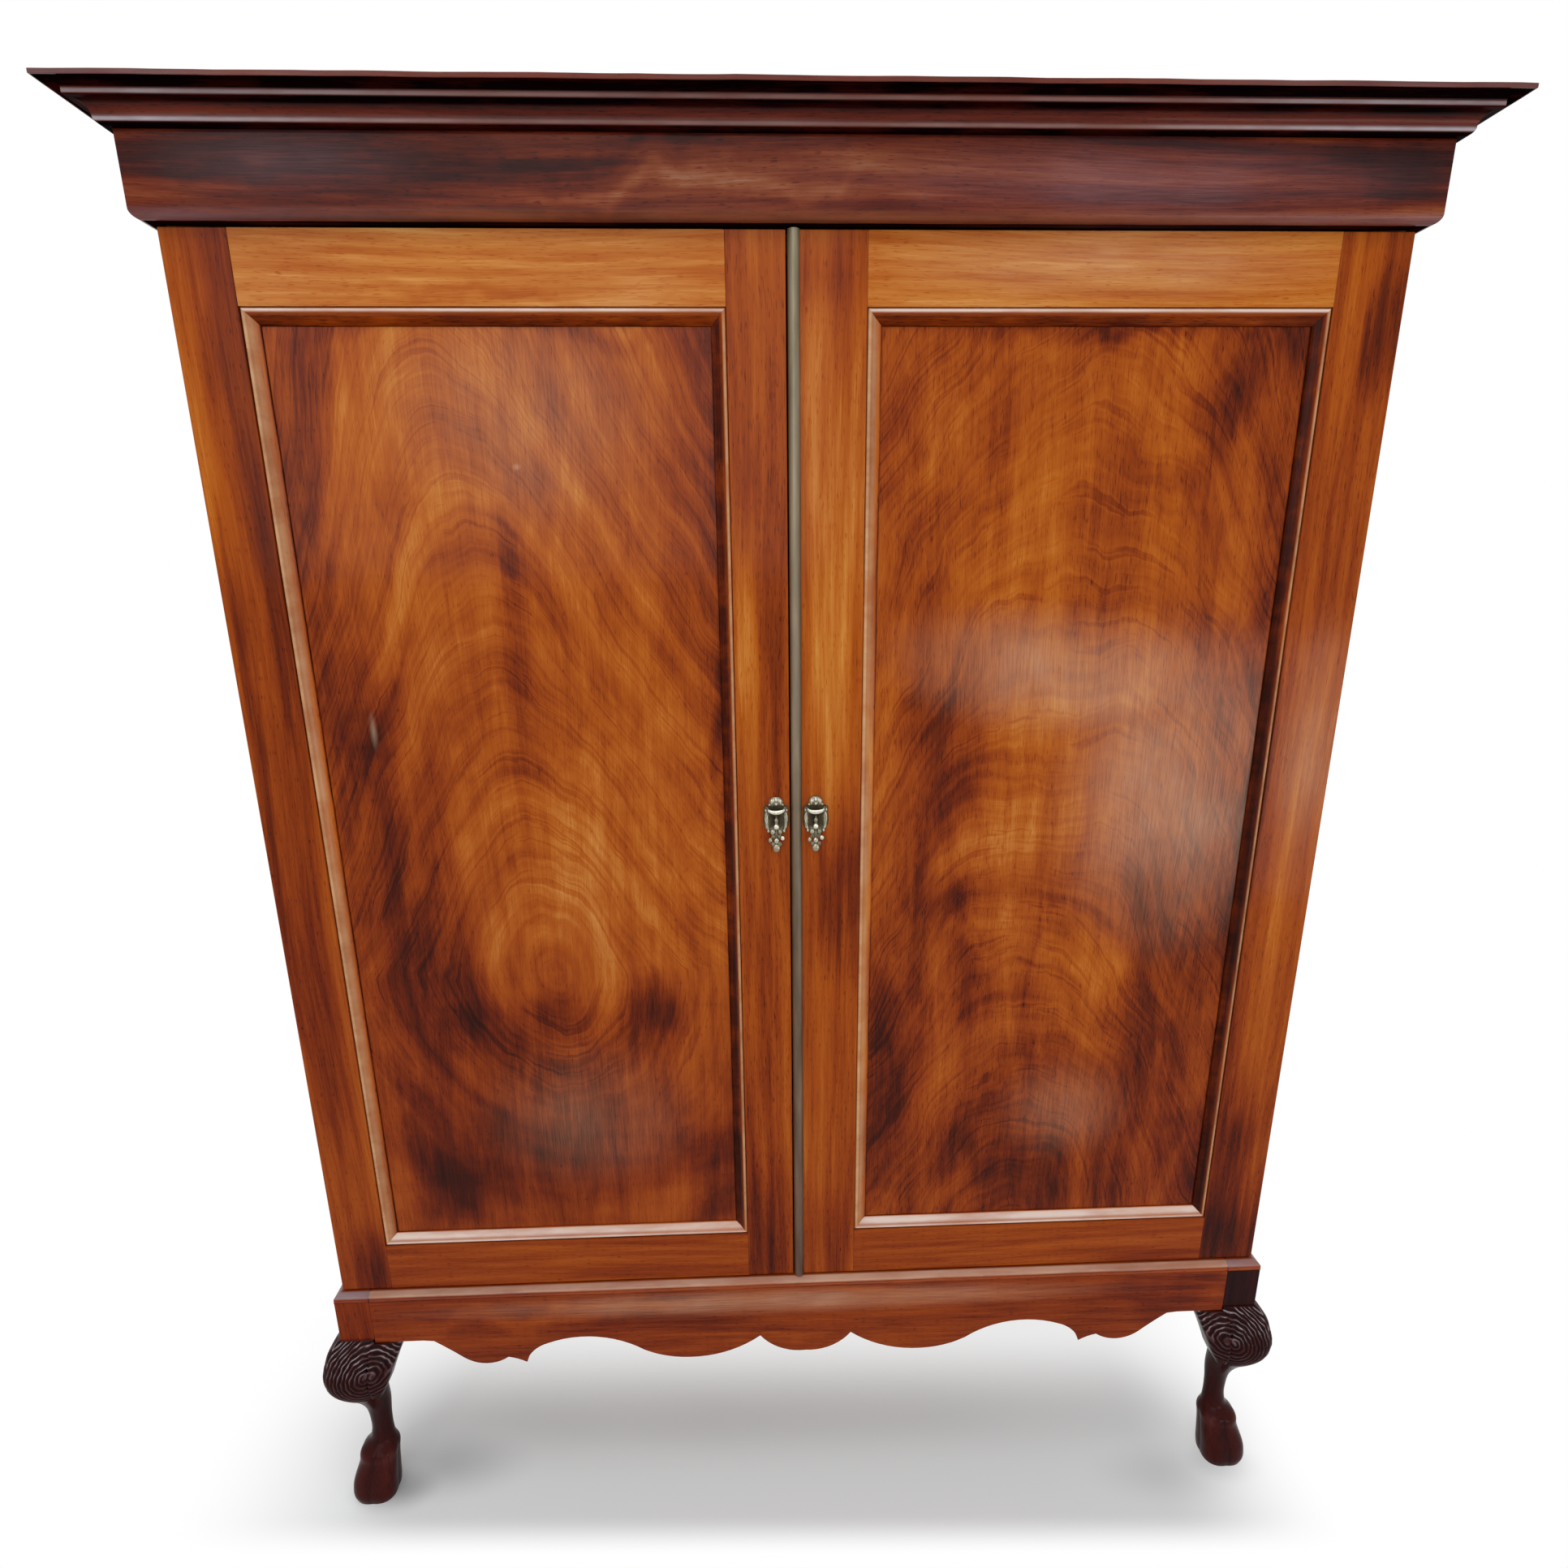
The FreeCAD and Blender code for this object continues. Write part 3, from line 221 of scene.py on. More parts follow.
def waver(along, seed, wavelength, reach):
    """A slow uneven wave: five sines of wavelengths near the given one, with their phases from the seed."""
    draw = np.random.default_rng(seed)
    total = np.zeros_like(along)
    for share in (2.3, 1.4, 1.0, 0.61, 0.37):
        total += np.sin(2 * pi * along / (wavelength * share) + draw.uniform(0, 2 * pi)) * share
    return total * reach / 4


def bead(centre, radii, rows=12, columns=16):
    """An egg: a sphere with its own reach each way, closed at its poles by small rings."""
    pole = 0.08
    tilt = np.linspace(pole, pi - pole, rows)[:, None]
    turn = 2 * pi * np.arange(columns)[None] / columns
    unit = np.stack([np.sin(tilt) * np.cos(turn), np.sin(tilt) * np.sin(turn), np.cos(tilt) + 0 * turn], -1)
    return tube(unit * np.array(radii, float) + np.array(centre, float))


def rope(path, radii, flat=1.0, columns=14):
    """A round bar along a path in the X Z plane; radii are its thickness along it, flat its depth in Y as a
    share of that.  Each loop stands square to the path's own direction."""
    path = np.array(path, float)
    radii = np.array(radii, float)[:, None]
    ahead = np.gradient(path, axis=0)
    ahead /= np.linalg.norm(ahead, axis=1)[:, None]
    side = np.stack([-ahead[:, 2], 0 * ahead[:, 1], ahead[:, 0]], -1)
    turn = 2 * pi * np.arange(columns)[None] / columns
    loops = path[:, None] + side[:, None] * (radii * np.cos(turn))[..., None]
    loops[..., 1] += radii * np.sin(turn) * flat
    return tube(loops)


# Colours and the making of a finish


def paint(code):
    """A colour written as six hexadecimal digits, in the light values that shaders take: the curve by which
    screens show such digits, a straight start and then a power, undone."""
    shares = [int(code[index:index + 2], 16) / 255 for index in (0, 2, 4)]
    light = [share / 12.92 if share < 0.04045 else ((share + 0.055) / 1.055) ** 2.4 for share in shares]
    return (*light, 1.0)


class Finish:
    """A material being made: short calls for the nodes that the finishes share.  What is fed to a socket is
    another node's output, or a plain value."""

    def __init__(self, name):
        self.material = bpy.data.materials.new(name)
        self.material.use_nodes = True
        self.nodes = self.material.node_tree.nodes
        self.links = self.material.node_tree.links
        self.shader = self.nodes["Principled BSDF"]

    def feed(self, socket, value):
        if isinstance(value, bpy.types.NodeSocket):
            self.links.new(value, socket)
        elif value is not None:
            socket.default_value = value

    def set(self, **values):
        """Feeds the shader's own sockets, named with _ for a space."""
        for name, value in values.items():
            self.feed(self.shader.inputs[name.replace("_", " ")], value)

    def add(self, kind, inputs, output=0, **settings):
        """A node of a kind with its settings and inputs; gives one of its outputs."""
        made = self.nodes.new(kind)
        for name, value in settings.items():
            setattr(made, name, value)
        for key, value in inputs.items():
            self.feed(made.inputs[key], value)
        return made.outputs[output]

    def sums(self, operation, *values, clamp=False):
        return self.add("ShaderNodeMath", dict(enumerate(values)), operation=operation, use_clamp=clamp)

    def plus(self, first, second, clamp=False):
        return self.sums("ADD", first, second, clamp=clamp)

    def less(self, first, second):
        return self.sums("SUBTRACT", first, second)

    def times(self, first, second):
        return self.sums("MULTIPLY", first, second)

    def product(self, first, *others):
        """All of them multiplied together."""
        for other in others:
            first = self.times(first, other)
        return first

    def scaled(self, value, factor, added):
        """The value times a factor, with something added."""
        return self.sums("MULTIPLY_ADD", value, factor, added)

    def vector(self, operation, *values):
        return self.add("ShaderNodeVectorMath", dict(enumerate(values)), operation=operation)

    def parts(self, vector):
        made = self.nodes.new("ShaderNodeSeparateXYZ")
        self.feed(made.inputs[0], vector)
        return list(made.outputs)

    def whole(self, x, y, z):
        return self.add("ShaderNodeCombineXYZ", {0: x, 1: y, 2: z})

    def noise(self, place, scale, detail=3.0, roughness=0.5, distortion=0.0):
        return self.add("ShaderNodeTexNoise", {
            "Vector": place, "Scale": scale, "Detail": detail,
            "Roughness": roughness, "Distortion": distortion})

    def drawn_out(self, place, shares, scale, *settings):
        """Noise that is longer the way that a share of its place is less than 1."""
        return self.noise(self.vector("MULTIPLY", place, shares), scale, *settings)

    def noise_vector(self, place, scale, detail):
        return self.add("ShaderNodeTexNoise", {
            "Vector": place, "Scale": scale, "Detail": detail}, output=1)

    def between(self, value, low, high, to_low=0.0, to_high=1.0, smooth=True):
        """to_low where the value is low or less, to_high where it is high or more, and a way between."""
        kind = "SMOOTHSTEP" if smooth else "LINEAR"
        return self.add("ShaderNodeMapRange", {0: value, 1: low, 2: high, 3: to_low, 4: to_high},
                        interpolation_type=kind)

    def blend(self, share, first, second):
        """The first colour, turned to the second by a share."""
        return self.add("ShaderNodeMix", {0: share, 6: first, 7: second}, output=2, data_type="RGBA")

    def ramp(self, value, stops):
        """A colour by value, through stops of a place and a colour."""
        made = self.nodes.new("ShaderNodeValToRGB")
        marks = made.color_ramp.elements
        while len(marks) < len(stops):
            marks.new(0.5)
        for mark, (place, code) in zip(marks, stops):
            mark.position = place
            mark.color = paint(code)
        self.feed(made.inputs[0], value)
        return made.outputs[0]

    def attribute(self, name, output):
        """What a piece keeps on its points: output 1 as a place, 2 as a number."""
        return self.add("ShaderNodeAttribute", {}, output=output, attribute_name=name)

    def place(self):
        """The point itself: Object coordinates, which are the wardrobe's own metres."""
        return self.add("ShaderNodeTexCoord", {}, output=3)

    def ball(self, place, centre, reach, lean=0.0):
        """1 at a point, falling evenly to 0 at an ellipsoid round it; lean turns it about Y, in degrees."""
        local = self.add("ShaderNodeMapping", {
            0: place, 1: centre, 2: (0.0, radians(lean), 0.0), 3: reach}, vector_type="TEXTURE")
        return self.add("ShaderNodeTexGradient", {0: local}, output=1, gradient_type="SPHERICAL")

    def spot(self, place, x, z, half_width, half_height, lean=0.0):
        """1 at a point of the front, falling softly to 0 at an ellipse round it, whatever the depth."""
        ball = self.ball(place, (x, 0.0, z), (half_width, FAR, half_height), lean)
        return self.between(ball, 0.0, 1.0)

    def relief_from(self, height, distance, strength):
        """Tilts the surface as if it stood out by a height of up to some distance."""
        normal = self.add("ShaderNodeBump", {"Strength": strength, "Distance": distance, "Height": height})
        self.feed(self.shader.inputs["Normal"], normal)


# Woods from dark to light, each by tone
MAHOGANY = (
    (0.00, "280b04"),
    (0.16, "451505"),
    (0.30, "692504"),
    (0.44, "8a3a08"),
    (0.58, "a04c0b"),
    (0.70, "ae5d14"),
    (0.84, "bc7428"),
    (1.00, "cf9548"),
)
RED_MAHOGANY = (
    (0.00, "200804"),
    (0.16, "3e1006"),
    (0.30, "601d08"),
    (0.44, "7c2e0c"),
    (0.58, "8f3f12"),
    (0.70, "9e4f1c"),
    (0.84, "b16c38"),
    (1.00, "c89064"),
)
DARK_MAHOGANY = (
    (0.00, "0b0203"),
    (0.22, "2e0904"),
    (0.40, "501708"),
    (0.58, "682714"),
    (0.80, "7d4a38"),
    (1.00, "947066"),
)
FRIEZE_BROWN = (
    (0.00, "140405"),
    (0.25, "300e09"),
    (0.42, "52190a"),
    (0.58, "6c2b12"),
    (0.74, "824425"),
    (1.00, "9a7058"),
)
STAINED = (
    (0.00, "0a0203"),
    (0.30, "260a0a"),
    (0.55, "3e1410"),
    (0.78, "582620"),
    (1.00, "7c5a54"),
)
INSIDE = (
    (0.00, "4a2c18"),
    (0.35, "7b4f2c"),
    (0.65, "976a3f"),
    (1.00, "b58c5c"),
)

# Which of X, Y and Z lie across the grain, through the board and along the grain
AXES = {"upright": (0, 1, 2), "lying": (2, 1, 0), "deep": (2, 0, 1)}


def grain_place(finish, way, seed):
    """Place in the board's own terms, across the grain, through it and along it, shifted so that no two
    boards share a figure.  The kept way is the one that lies on a piece's own points."""
    shift = np.random.default_rng(seed).uniform(-8, 8, 3)
    if way == "kept":
        return finish.vector("ADD", finish.attribute("grain", 1), tuple(shift))
    axes = finish.parts(finish.place())
    turned = finish.whole(*(axes[index] for index in AXES[way]))
    return finish.vector("ADD", turned, tuple(shift))


# Figures along the grain: share of the length that counts, then scale, detail, roughness and distortion
SLOW_STREAKS = (0.07, 19.0, 4.0, 0.55, 0.6)
QUICK_STREAKS = (0.045, 105.0, 3.0, 0.6)
FIBRES = (0.03, 620.0, 2.0, 0.6)
PORES = (0.075, 1150.0, 0.0)
FIBRE_DEPTH = 0.24
PORE_DEPTH = 0.16


def along_grain(finish, place, share, scale, *settings):
    """Noise drawn out along the grain."""
    return finish.drawn_out(place, (1.0, 1.0, share), scale, *settings)


def sawn_tone(finish, place, middle, streaks, fine):
    """Lightness of a sawn board: slow streaks along the grain, finer ones in them, the fibres, and short
    dark pores.  Gives the fibres too, for the relief."""
    sideways = finish.scaled(along_grain(finish, place, 0.25, 5.0, 1.0), 0.05, -0.025)
    bent = finish.vector("ADD", place, finish.whole(sideways, 0.0, 0.0))
    slow = along_grain(finish, bent, *SLOW_STREAKS)
    quick = along_grain(finish, bent, *QUICK_STREAKS)
    fibre = along_grain(finish, bent, *FIBRES)
    pore = along_grain(finish, bent, *PORES)
    tone = finish.scaled(slow, streaks, middle - streaks / 2)
    tone = finish.plus(tone, finish.scaled(quick, fine, -fine / 2))
    tone = finish.plus(tone, finish.scaled(fibre, FIBRE_DEPTH, -FIBRE_DEPTH / 2))
    return finish.scaled(finish.between(pore, 0.66, 0.78), -PORE_DEPTH, tone), fibre


def wander(finish, place, share, scale, detail, sideways, upward):
    """How far the wood's own wander moves a place: up to half of sideways and upward either way."""
    stir = finish.noise_vector(finish.vector("MULTIPLY", place, (1.0, 1.0, share)), scale, detail)
    return finish.vector("MULTIPLY_ADD", stir, (sideways, 0.0, upward), (-sideways / 2, 0.0, -upward / 2))


def shaded(finish, tone, spots):
    """The tone with soft patches: each row is x, z, half width, half height, change and, if it leans, its
    degrees.  Their edges follow the wood's own wander."""
    place = finish.place()
    stirred = finish.vector("ADD", place, wander(finish, place, 0.35, 9.0, 3.0, 0.09, 0.16))
    for x, z, half_width, half_height, change, *lean in spots:
        spot = finish.spot(stirred, x, z, half_width, half_height, *lean)
        tone = finish.scaled(spot, change, tone)
    return tone


def polish_coat(finish, fibre, coat):
    """The coat of polish on wood: it lies a little uneven, and the fibres are just felt through it."""
    uneven = finish.noise(finish.place(), 26.0, 2.0)
    finish.relief_from(finish.scaled(fibre, 0.05, uneven), 1.2 * MM, 0.35)
    finish.set(IOR=1.1, Coat_Weight=coat, Coat_Roughness=0.1, Coat_IOR=1.22)


def varnish(finish, tone, fibre, colours, gloss=0.3, coat=0.4, red=None, blooms=(), wear_and_highlight=None,
            bloom_colour="c9a98d", shine=None):
    """Old french polish over wood of some tone: it fills the pores nearly level and wears duller in
    places.  red is how far the wood turns to its redder kind.  Painted reflections on the polish, with a few
    pale scuffs, are each x, z, half width, half height, strength and, if it leans, its degrees, in a colour of
    their own; a painted highlight is a share and a colour; shine scales the coat and the specular level."""
    place = finish.place()
    colour = finish.ramp(tone, colours)
    if red is not None:
        colour = finish.blend(red, colour, finish.ramp(tone, RED_MAHOGANY))
    if wear_and_highlight is not None:
        colour = finish.blend(wear_and_highlight[0], colour, wear_and_highlight[1])
    sheen_and_scuff = None
    # Painted reflections on the polish, and a few pale scuffs, in their own colour
    for x, z, half_width, half_height, strength, *lean in blooms:
        spot = finish.times(finish.spot(place, x, z, half_width, half_height, *lean), strength)
        sheen_and_scuff = spot if sheen_and_scuff is None else finish.sums("MAXIMUM", sheen_and_scuff, spot)
    if sheen_and_scuff is not None:
        cloudy = finish.between(finish.noise(place, 9.0, 3.0), 0.3, 0.7, 0.7, 1.15)
        streaky = finish.between(fibre, 0.3, 0.7, 0.75, 1.2)
        colour = finish.blend(finish.product(sheen_and_scuff, cloudy, streaky), colour, paint(bloom_colour))
    wear = finish.noise(place, 7.0, 4.0, 0.6)
    finish.set(Base_Color=colour, Roughness=finish.between(wear, 0.35, 0.75, gloss, gloss + 0.16))
    polish_coat(finish, fibre, coat)
    if shine is not None:
        finish.set(Coat_Weight=finish.times(shine, coat), Specular_IOR_Level=shine)
    return finish.material


def redness(finish, share):
    """How red the wood is from place to place: a cloud about the given share, more near the floor."""
    cloud = finish.noise(finish.place(), 3.1, 2.0)
    low = finish.between(finish.parts(finish.place())[2], 0.4, 1.15, 0.45, 0.0, smooth=False)
    cloud = finish.between(cloud, 0.3, 0.7, share - 0.25, share + 0.25, smooth=False)
    return finish.plus(cloud, low, clamp=True)


def board(name, way, seed, middle, streaks=0.9, spots=(), colours=MAHOGANY, gloss=0.3, coat=0.4, blooms=()):
    """A polished board with straight grain; mahogany turns redder in places."""
    finish = Finish(name)
    tone, fibre = sawn_tone(finish, grain_place(finish, way, seed), middle, streaks, fine=0.5)
    red = redness(finish, 0.3) if colours is MAHOGANY else None
    return varnish(finish, shaded(finish, tone, spots), fibre, colours, gloss, coat, red, blooms)


def moulded(name, seed, middle, streaks, colours, shade_depth, highlight_share, highlight_colours, fine=0.4, spots=(),
            jointed=False, gloss=0.24, **polish):
    """A moulding: its grain runs along it, and light and shade are painted into it as the relief kept on
    its points tells: 0 painted shade, dark and without shine, 0.5 plain, 1 painted highlight.  The highlight
    colour goes from its first at the middle to its second at the ends; in a jointed one it changes at the
    posts, where a dark joint shows."""
    finish = Finish(name)
    tone, fibre = sawn_tone(finish, grain_place(finish, "kept", seed), middle, streaks, fine)
    relief = finish.attribute("relief", 2)
    place = finish.place()
    patch = finish.drawn_out(place, (0.25, 1.0, 1.0), 30.0, 4.0, 0.6)
    uneven = finish.between(patch, 0.3, 0.7, 0.6, 1.25)
    # Painted shade where the relief is low and painted highlight where it is high, both in patches
    shade_and_joint = finish.times(finish.between(relief, 0.0, 0.5, -shade_depth, 0.0, smooth=False), uneven)
    highlight_amount = finish.times(finish.between(relief, 0.5, 1.0, 0.0, highlight_share, smooth=False), uneven)
    aside = finish.sums("ABSOLUTE", finish.parts(place)[0])
    if jointed:
        outward_share = finish.between(aside, post_inner - 1 * MM, post_inner)
        joint = finish.times(finish.between(aside, post_inner - 2 * MM, post_inner - 0.5 * MM), -0.25)
        faded = finish.between(aside, post_inner, post_inner + 1.5 * MM, 1.0, 0.0)
        shade_and_joint = finish.plus(shade_and_joint, finish.times(joint, faded))
    else:
        outward_share = finish.between(aside, 0.30, 0.70)
    colour = finish.blend(outward_share, paint(highlight_colours[0]), paint(highlight_colours[1]))
    tone = shaded(finish, finish.plus(tone, shade_and_joint), spots)
    shine = finish.between(relief, 0.0, 0.3, 0.0, 1.0)
    return varnish(finish, tone, fibre, colours, gloss, wear_and_highlight=(highlight_amount, colour), shine=shine, **polish)


def arches(finish, x, z, lean, narrow, stir, spacing):
    """Crown figure: growth lines round a point of the front.  Their measure is the root of the squares of
    the height over it and of the distance across, which counts for more the higher it is, so the lines are
    round near the point and tall arches above it.  lean shifts the middle sideways with height.  Gives the
    lines, which come and go along an arch, and the broad bands."""
    place = finish.place()
    wide = wander(finish, place, 0.7, 3.2, 2.0, stir, stir)
    close = finish.noise_vector(finish.vector("MULTIPLY", place, (1.0, 1.0, 0.5)), 14.0, 3.0)
    moved = finish.vector("ADD", wide, finish.vector("MULTIPLY", close, (0.022, 0.0, 0.05)))
    across, _, up = finish.parts(finish.vector("ADD", place, moved))
    up = finish.less(up, z)
    across = finish.less(finish.scaled(up, -lean, across), x)
    weight = finish.scaled(finish.sums("MAXIMUM", up, 0.0), narrow, 1.25)
    aside = finish.times(across, weight)
    squares = finish.plus(finish.times(aside, aside), finish.times(up, up))
    measure = finish.sums("SQRT", squares)
    count = finish.sums("DIVIDE", measure, spacing)
    line_place = finish.whole(count, finish.times(across, 7.0), finish.times(up, 4.0))
    line = finish.noise(line_place, 0.8, 3.0, 0.62, 0.4)
    broad = finish.drawn_out(line_place, (0.17, 0.5, 0.5), 1.0, 2.0)
    near = finish.between(measure, 0.0, 0.12, 0.3, 1.0)
    above = finish.times(finish.between(up, -0.30, -0.08), near)
    return finish.times(finish.less(line, 0.5), above), broad


def figured(name, seed, middle, arch, line_depth, broad_depth, flame, spots, blooms):
    """A figured veneer: straight grained wood under arched growth lines that come and go, flames of darker
    and lighter wood, short marks across them, and chosen patches."""
    finish = Finish(name)
    place = grain_place(finish, "upright", seed)
    tone, fibre = sawn_tone(finish, place, middle, streaks=0.26, fine=0.20)
    line, broad = arches(finish, **arch)
    offset = finish.vector("ADD", finish.place(), (seed * 1.7, 0.0, 0.0))
    tone = finish.scaled(line, line_depth, tone)
    crest = finish.between(line, 0.05, 0.16)
    tone = finish.scaled(crest, -line_depth * 0.35, tone)
    tone = finish.scaled(finish.less(broad, 0.5), broad_depth, tone)
    tall = finish.drawn_out(offset, (1.0, 1.0, 0.28), 13.0, 4.0, 0.6, 1.4)
    tone = finish.scaled(finish.less(tall, 0.5), flame, tone)
    cross = finish.drawn_out(offset, (0.5, 1.0, 1.6), 16.0, 2.0)
    tone = finish.scaled(finish.less(cross, 0.5), 0.16, tone)
    tone = shaded(finish, tone, spots)
    return varnish(finish, tone, fibre, MAHOGANY, 0.22, 0.5, redness(finish, 0.3), blooms)


# Patches of darker and lighter wood on the panels, with painted shadow along the top and right borders: x, z,
# half width, half height, change, degrees of lean
LEFT_PANEL_SPOTS = (
    (-0.16, 0.66, 0.10, 0.24, -0.14),
    # Painted shadow under the top moulding, then beside the right one
    (-0.356, 1.695, 0.310, 0.022, -0.20),
    (-0.102, 1.10, 0.016, 0.62, -0.22),
    (-0.6, 1.43, 0.105, 0.538, -0.22),
    (-0.56, 1.12, 0.084, 0.384, -0.14),
    (-0.105, 1.5, 0.07, 0.512, -0.19),
    (-0.11, 1.68, 0.084, 0.077, -0.12),
    (-0.54, 1.68, 0.084, 0.077, -0.1),
    (-0.5, 0.93, 0.091, 0.218, -0.32),
    (-0.48, 1.1, 0.042, 0.218, -0.16),
    (-0.56, 0.84, 0.154, 0.461, -0.16),
    (-0.41, 0.83, 0.119, 0.09, -0.21),
    (-0.215, 0.84, 0.105, 0.077, -0.26),
    (-0.33, 0.6, 0.588, 0.41, -0.26),
    (-0.46, 0.62, 0.2, 0.22, -0.1),
    (-0.2, 0.6, 0.1, 0.2, 0.08),
    (-0.53, 0.52, 0.112, 0.154, -0.21),
    (-0.15, 0.7, 0.063, 0.166, 0.19, -18),
    (-0.11, 0.56, 0.084, 0.128, -0.15),
    (-0.372, 1.36, 0.022, 0.435, -0.1),
    (-0.47, 1.62, 0.112, 0.179, 0.07),
    (-0.3, 1.02, 0.238, 0.256, 0.06),
    (-0.17, 1.2, 0.126, 0.384, 0.05),
)
RIGHT_PANEL_SPOTS = (
    # Painted shadow under the top moulding, then beside the right one
    (0.346, 1.695, 0.310, 0.022, -0.20),
    (0.601, 1.10, 0.018, 0.62, -0.22),
    (0.19, 1.19, 0.098, 0.205, -0.24, 24),
    (0.178, 1, 0.105, 0.102, -0.24, 30),
    (0.222, 0.92, 0.039, 0.192, -0.2),
    (0.12, 0.76, 0.063, 0.358, -0.22),
    (0.35, 0.58, 0.644, 0.384, -0.2),
    (0.585, 1, 0.105, 0.358, -0.17),
    (0.6, 1.5, 0.07, 0.384, -0.17),
    (0.56, 1.68, 0.126, 0.077, -0.22),
    (0.515, 1.6, 0.042, 0.102, -0.26, 20),
    (0.36, 1.47, 0.098, 0.154, -0.13),
    (0.4, 1.3, 0.056, 0.205, -0.11),
    (0.29, 1.08, 0.154, 0.282, 0.11, 14),
    (0.12, 1.1, 0.07, 0.154, 0.05),
    (0.41, 0.87, 0.112, 0.115, 0.15),
    (0.5, 0.88, 0.098, 0.282, -0.18),
    (0.23, 0.72, 0.084, 0.128, 0.07),
    (0.41, 1.62, 0.084, 0.128, 0.11),
    (0.25, 0.57, 0.154, 0.128, -0.09),
)
# Painted reflections on the panels' polish, and two small pale marks on the left panel: x, z, half width, half
# height, strength, degrees of lean
LEFT_PANEL_SHEEN_AND_SCUFFS = (
    (-0.330, 1.60, 0.20, 0.16, 0.16),
    (-0.546, 1.235, 0.006, 0.030, 0.3),
    (-0.338, 1.545, 0.009, 0.007, 0.4),
    (-0.310, 0.67, 0.19, 0.14, 0.12),
)
RIGHT_PANEL_SHEEN = (
    (0.385, 0.66, 0.12, 0.10, 0.14),
    (0.500, 1.13, 0.20, 0.27, 0.34),
    (0.360, 1.29, 0.30, 0.10, 0.36, 8),
)
left_veneer = figured(
    "left_door_veneer", seed=3, middle=0.60,
    arch=dict(x=-0.330, z=0.92, lean=-0.10, narrow=4.6, stir=0.07, spacing=0.0125),
    line_depth=0.55, broad_depth=0.55, flame=0.50, spots=LEFT_PANEL_SPOTS, blooms=LEFT_PANEL_SHEEN_AND_SCUFFS)
right_veneer = figured(
    "right_door_veneer", seed=8, middle=0.55,
    arch=dict(x=0.310, z=0.50, lean=0.06, narrow=2.2, stir=0.22, spacing=0.017),
    line_depth=0.55, broad_depth=0.45, flame=0.62, spots=RIGHT_PANEL_SPOTS, blooms=RIGHT_PANEL_SHEEN)

left_hinge_wood = board("left_hinge_stile_wood", "upright", seed=11, middle=0.46, spots=(
    (-0.695, 1.60, 0.030, 0.40, 0.14), (-0.640, 1.50, 0.045, 0.46, -0.17),
    (-0.690, 1.36, 0.030, 0.20, -0.18), (-0.640, 0.43, 0.060, 0.12, -0.24),
    (-0.660, 0.62, 0.040, 0.16, 0.12)))
left_lock_wood = board("left_lock_stile_wood", "upright", seed=12, middle=0.52, spots=(
    (-0.030, 1.50, 0.030, 0.40, -0.12), (-0.060, 1.34, 0.030, 0.24, 0.16),
    (-0.050, 0.46, 0.080, 0.20, -0.26)))
right_lock_wood = board("right_lock_stile_wood", "upright", seed=13, middle=0.58, spots=(
    (0.045, 1.30, 0.050, 0.26, 0.06), (0.045, 1.00, 0.040, 0.18, -0.32), (0.030, 0.46, 0.090, 0.20, -0.18),
    (0.020, 1.74, 0.080, 0.06, -0.12)))
# The sheen on this stile is a painted reflection
right_hinge_wood = board("right_hinge_stile_wood", "upright", seed=14, middle=0.46, spots=(
    (0.690, 1.70, 0.040, 0.12, -0.28), (0.640, 1.20, 0.030, 0.60, 0.10), (0.650, 0.62, 0.060, 0.16, -0.22),
    (0.670, 0.43, 0.150, 0.16, -0.28)), blooms=((0.670, 1.20, 0.06, 0.20, 0.20),))
# The sheen on the right door's top rail is a painted reflection
top_rail_wood = board("top_rail_wood", "lying", seed=15, middle=0.78, streaks=0.36, spots=(
    (-0.110, 1.75, 0.060, 0.06, -0.08), (0.080, 1.75, 0.050, 0.06, -0.10),
    (-0.350, 1.715, 0.300, 0.012, -0.08)), blooms=((0.350, 1.755, 0.330, 0.05, 0.22),))
bottom_rail_wood = board("bottom_rail_wood", "lying", seed=16, middle=0.50, streaks=0.45)
# The apron's lighter top edge, a spot at the left and a sheen all along, is a painted highlight
apron_wood = board("apron_wood", "lying", seed=17, middle=0.43, streaks=0.6, spots=(
    (0.000, 0.270, 0.300, 0.03, -0.10), (-0.400, 0.350, 0.300, 0.03, 0.16),
    (-0.600, 0.340, 0.100, 0.05, 0.04), (0.600, 0.330, 0.240, 0.05, -0.15)),
    blooms=((-0.05, 0.352, 0.66, 0.030, 0.30),))
rail_side_wood = board("stand_rail_wood", "deep", seed=19, middle=0.42, streaks=0.6)
rear_leg_wood = board("rear_leg_wood", "upright", seed=43, middle=0.46, streaks=0.5,
                      colours=DARK_MAHOGANY)
ledge_left, ledge_right = (end.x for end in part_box("right_door_moulding"))
LEDGE_INSET = 8 * MM
# Painted highlights, pale gold on the upright strips and pale pink on the lying ones; the two thin spots paint
# the right door's left strip lighter and its right strip darker
door_moulding_wood = moulded(
    "door_moulding_wood", seed=20, middle=0.48, streaks=0.45, colours=MAHOGANY, shade_depth=0.42,
    highlight_share=0.70, highlight_colours=("cfa67c", "cfa67c"),
    spots=((ledge_left + LEDGE_INSET, 1.10, 0.016, 1.2, 0.22),
           (ledge_right - LEDGE_INSET, 1.10, 0.016, 1.2, -0.16)))
door_ledge_wood = moulded(
    "door_ledge_wood", seed=25, middle=0.58, streaks=0.45, colours=MAHOGANY, shade_depth=0.42,
    highlight_share=0.95, highlight_colours=("d6c0b4", "d6c0b4"))
# Its highlight colours are painted reflections, pinkish along the front and greyish lilac over the posts
base_moulding_wood = moulded(
    "base_moulding_wood", seed=21, middle=0.46, streaks=0.6, colours=RED_MAHOGANY, shade_depth=0.30,
    highlight_share=0.85, highlight_colours=("bf9a84", "92868a"), jointed=True)
